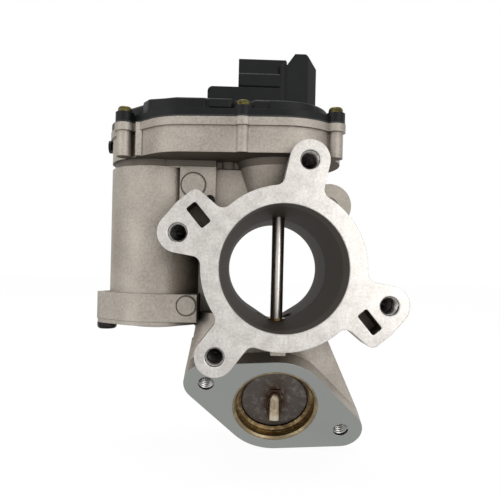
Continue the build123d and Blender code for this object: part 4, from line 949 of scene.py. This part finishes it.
# The shoulder is set back from the web and from the side boss, which stands further forward
SHOULDER_LEFT = -50.0
SHOULDER_FRONT = WEB_FRONT + 1.4
SHOULDER_BOTTOM = 42.5
SHOULDER_TOP = CASE_BOTTOM_Z / MM + 0.2
BOSS_RIGHT = -28.0
BOSS_STEP_FRONT = 26.2
shoulder_plan = [
    (SHOULDER_LEFT, BOSS_STEP_FRONT), (BOSS_RIGHT, BOSS_STEP_FRONT), (BOSS_RIGHT, SHOULDER_FRONT),
    (WEB_RIGHT, SHOULDER_FRONT), (WEB_RIGHT, WEB_BACK), (SHOULDER_LEFT, WEB_BACK),
]
slab("cast_web_shoulder", shoulder_plan, SHOULDER_BOTTOM, SHOULDER_TOP, 0.3, housing_metal)
print("web", WEB_RIGHT - WEB_LEFT, "mm wide and", round(LEDGE_Z / MM - WEB_BOTTOM, 1), "mm high")

# %% Panels of the black cover
LEFT_END_BOTTOM = 62.9
PANEL_BOTTOM, PANEL_TOP = 64.5, 68.4
left_end_plan = [
    (-59.4, 24.0), (-59.0, 21.5), (-55.9, 17.1), (-49.7, 15.4), (-44.4, 13.4), (-32.0, 13.0),
    (-32.0, 16.5), (-40.0, 16.5), (-50.0, 21.0), (-54.0, 26.0),
]
left_panel_plan = [(-31.0, 12.5), (-22.4, 12.7), (-21.2, 13.6), (-21.2, 15.5), (-31.0, 15.5)]
right_panel_plan = [
    (-6.6, 12.9), (0.0, 13.0), (6.0, 13.9), (10.8, 16.1), (13.2, 18.2), (11.5, 20.0), (6.0, 16.5),
    (-6.6, 15.5),
]
slab("cover_left_end", left_end_plan, LEFT_END_BOTTOM, PANEL_TOP + 0.3, 0.7, black_polyamide)
slab("cover_panel_left", left_panel_plan, PANEL_BOTTOM, PANEL_TOP, 0.6, black_polyamide)
slab("cover_panel_right", right_panel_plan, PANEL_BOTTOM, PANEL_TOP, 0.6, black_polyamide)
print("panels from", PANEL_BOTTOM, "to", PANEL_TOP, "mm high")

# %% Rounded corner of the connector tower
TOWER_LEFT, TOWER_FRONT = 1.3, 25.0
CORNER_RADIUS = 3.6
CORNER_STEPS = 6
CORNER_BOTTOM = 68.0
CORNER_LOW, CORNER_HIGH = 87.3, 89.4
corner_plan = [(TOWER_LEFT, TOWER_FRONT + CORNER_RADIUS)]
for step in range(CORNER_STEPS + 1):
    angle = radians(90 * step / CORNER_STEPS)
    corner_plan.append((
        TOWER_LEFT - CORNER_RADIUS * cos(angle), TOWER_FRONT + CORNER_RADIUS * (1 - sin(angle))
    ))
corner_tops = [
    CORNER_HIGH + (CORNER_LOW - CORNER_HIGH) * (TOWER_LEFT - x) / CORNER_RADIUS
    for x, y in corner_plan
]
slab("tower_corner", corner_plan, CORNER_BOTTOM, corner_tops, 0.3, black_polyamide)
print("tower corner of", CORNER_RADIUS, "mm radius")

# %% [markdown]
# ## Boss behind the right tapped hole
# A tapped hole in a thin flange is backed by a round boss, so that the screw's end stays in metal.
# In the drawing the end of the right hole breaks out of the flange's sloping back, and this boss
# covers that. It is a stack of rings like the screws. Its front is a cup that fits round the end
# of the hole, so the hole stays open, and its far edge is rounded as a casting's would be.

# %% Boss with a cup for the end of the hole
TAP_BOSS_RADIUS = 5.6
TAP_BOSS_START, TAP_BOSS_END = 8.5, 12.2
HOLE_WALL = 3.45
HOLE_END = 10.05
boss_rings = [
    (HOLE_WALL, 0, -HOLE_END),
    (HOLE_WALL, 0, -TAP_BOSS_START),
    (TAP_BOSS_RADIUS, 0, -TAP_BOSS_START),
    (TAP_BOSS_RADIUS, 0, 0.8 - TAP_BOSS_END),
    (TAP_BOSS_RADIUS - 0.3, 0, 0.25 - TAP_BOSS_END),
    (TAP_BOSS_RADIUS - 1.0, 0, -TAP_BOSS_END),
]
stacked_rings(
    "tap_boss_right", boss_rings, GAS_TAP_MOUTHS[0], PORT_AXIS, cover_plate_metal, "housing"
)
print("boss of", 2 * TAP_BOSS_RADIUS, "mm behind the right tapped hole")

# %% [markdown]
# ## Studio
# A product photograph is taken on a white sweep under large soft lamps. The world is plain white
# to the camera and to mirror-like surfaces, so the metals have something pale to reflect, and
# weaker as a light, so that colours render about as written. The floor glows towards the same
# rays, which hides its edge and keeps the object's soft shadow. One large lamp stands to the
# right of the camera, where the photograph's brightest faces point, with a weaker one to the left
# and one above.

# %% World
WORLD_LIGHT, WORLD_SEEN = 0.5, 1.0
WHITE = (1, 1, 1, 1)


def background_rays(tree):
    """1 for rays from the camera, a mirror or glass, which see the background as it is."""
    rays = add_node(tree, "ShaderNodeLightPath").outputs
    seen = add_node(
        tree, "ShaderNodeMath", {0: rays["Is Camera Ray"], 1: rays["Is Glossy Ray"]},
        operation="MAXIMUM",
    ).outputs[0]
    return add_node(
        tree, "ShaderNodeMath", {0: seen, 1: rays["Is Transmission Ray"]}, operation="MAXIMUM"
    ).outputs[0]


world = bpy.data.worlds.new("white studio")
bpy.context.scene.world = world
world.use_nodes = True
sky = world.node_tree
sky.nodes.clear()
strength = add_node(
    sky, "ShaderNodeMapRange", {"Value": background_rays(sky), 3: WORLD_LIGHT, 4: WORLD_SEEN}
).outputs["Result"]
white = add_node(sky, "ShaderNodeBackground", {"Color": WHITE, "Strength": strength})
add_node(sky, "ShaderNodeOutputWorld", {"Surface": white.outputs[0]})
print("world at", WORLD_LIGHT, "as a light and", WORLD_SEEN, "where it is seen")

# %% Floor
FLOOR_GAP = 0.5 * MM
FLOOR_HALF = 3.0
FLOOR_COLOUR = (0.86, 0.86, 0.86, 1)
FLOOR_GLOW = 1.06
GLOW_SHARE = 0.88
floor_z = cad_low.z - FLOOR_GAP
floor_mesh = bpy.data.meshes.new("floor")
floor_mesh.from_pydata(
    [(x * FLOOR_HALF, y * FLOOR_HALF, floor_z) for x, y in ((-1, -1), (1, -1), (1, 1), (-1, 1))],
    [], [(0, 1, 2, 3)],
)
floor = bpy.data.objects.new("floor", floor_mesh)
bpy.context.scene.collection.objects.link(floor)
floor_white, floor_tree, floor_shader = start_material("white sweep", 0.0, 0.9)
floor_shader.inputs["Base Color"].default_value = FLOOR_COLOUR
glow_share = add_node(
    floor_tree, "ShaderNodeMath", {0: background_rays(floor_tree), 1: GLOW_SHARE},
    operation="MULTIPLY",
).outputs[0]
glow = add_node(
    floor_tree, "ShaderNodeEmission", {"Color": WHITE, "Strength": FLOOR_GLOW}
).outputs[0]
blend = add_node(
    floor_tree, "ShaderNodeMixShader", {0: glow_share, 1: floor_shader.outputs[0], 2: glow}
).outputs[0]
floor_tree.links.new(blend, floor_tree.nodes["Material Output"].inputs["Surface"])
floor_mesh.materials.append(floor_white)
print("floor at", round(floor_z / MM, 1), "mm")

# %% Lamps
def soft_lamp(name, place, aim, size, power):
    """A square soft lamp at place, turned to aim."""
    lamp = bpy.data.lights.new(name, "AREA")
    lamp.shape = "SQUARE"
    lamp.size = size
    lamp.energy = power
    holder = bpy.data.objects.new(name, lamp)
    holder.location = place
    holder.rotation_euler = (Vector(aim) - Vector(place)).to_track_quat("-Z", "Y").to_euler()
    bpy.context.scene.collection.objects.link(holder)


middle = (cad_low + cad_high) / 2
soft_lamp("key lamp right", (0.46, -0.78, 0.12), middle, size=0.45, power=2.4)
soft_lamp("fill lamp left", (-0.70, -0.55, 0.15), middle, size=0.5, power=1.4)
soft_lamp("top lamp", (-0.05, 0.05, 0.85), middle, size=0.5, power=2.4)
bpy.context.scene.view_settings.view_transform = "Standard"
print("lamps aim at", [round(value / MM, 1) for value in middle], "mm")

# %% [markdown]
# ## Camera
# The photograph was taken from close by, level with the bore and a little to its left, so the
# far end of the duct looks much smaller than its mouth. The camera stands where that pattern of
# sizes puts it. The valve leans about one degree in the picture, and its depth drifts left, so
# the camera is turned by those two small angles instead of the valve.

# %% Camera at the photograph's place
CAMERA_DISTANCE = 190 * MM
CAMERA_SIDE = -13.1 * MM
CAMERA_YAW = radians(1.3)
CAMERA_ROLL = radians(1.35)
PICTURE_SIZE = 500
FOCAL_PIXELS = 500
CENTRE_ROW = 268
camera_data = bpy.data.cameras.new("camera")
camera_data.sensor_width = 36
camera_data.lens = camera_data.sensor_width * FOCAL_PIXELS / PICTURE_SIZE
camera_data.shift_y = (CENTRE_ROW - PICTURE_SIZE / 2) / PICTURE_SIZE
camera = bpy.data.objects.new("camera", camera_data)
camera.matrix_world = (
    Matrix.Rotation(-CAMERA_YAW, 4, "Z")
    @ Matrix.Translation((CAMERA_SIDE, -CAMERA_DISTANCE, 0))
    @ Matrix.Rotation(radians(90), 4, "X")
    @ Matrix.Rotation(CAMERA_ROLL, 4, "Z")
)
bpy.context.scene.collection.objects.link(camera)
bpy.context.scene.camera = camera
print("camera at", [round(value / MM, 1) for value in camera.matrix_world.translation])
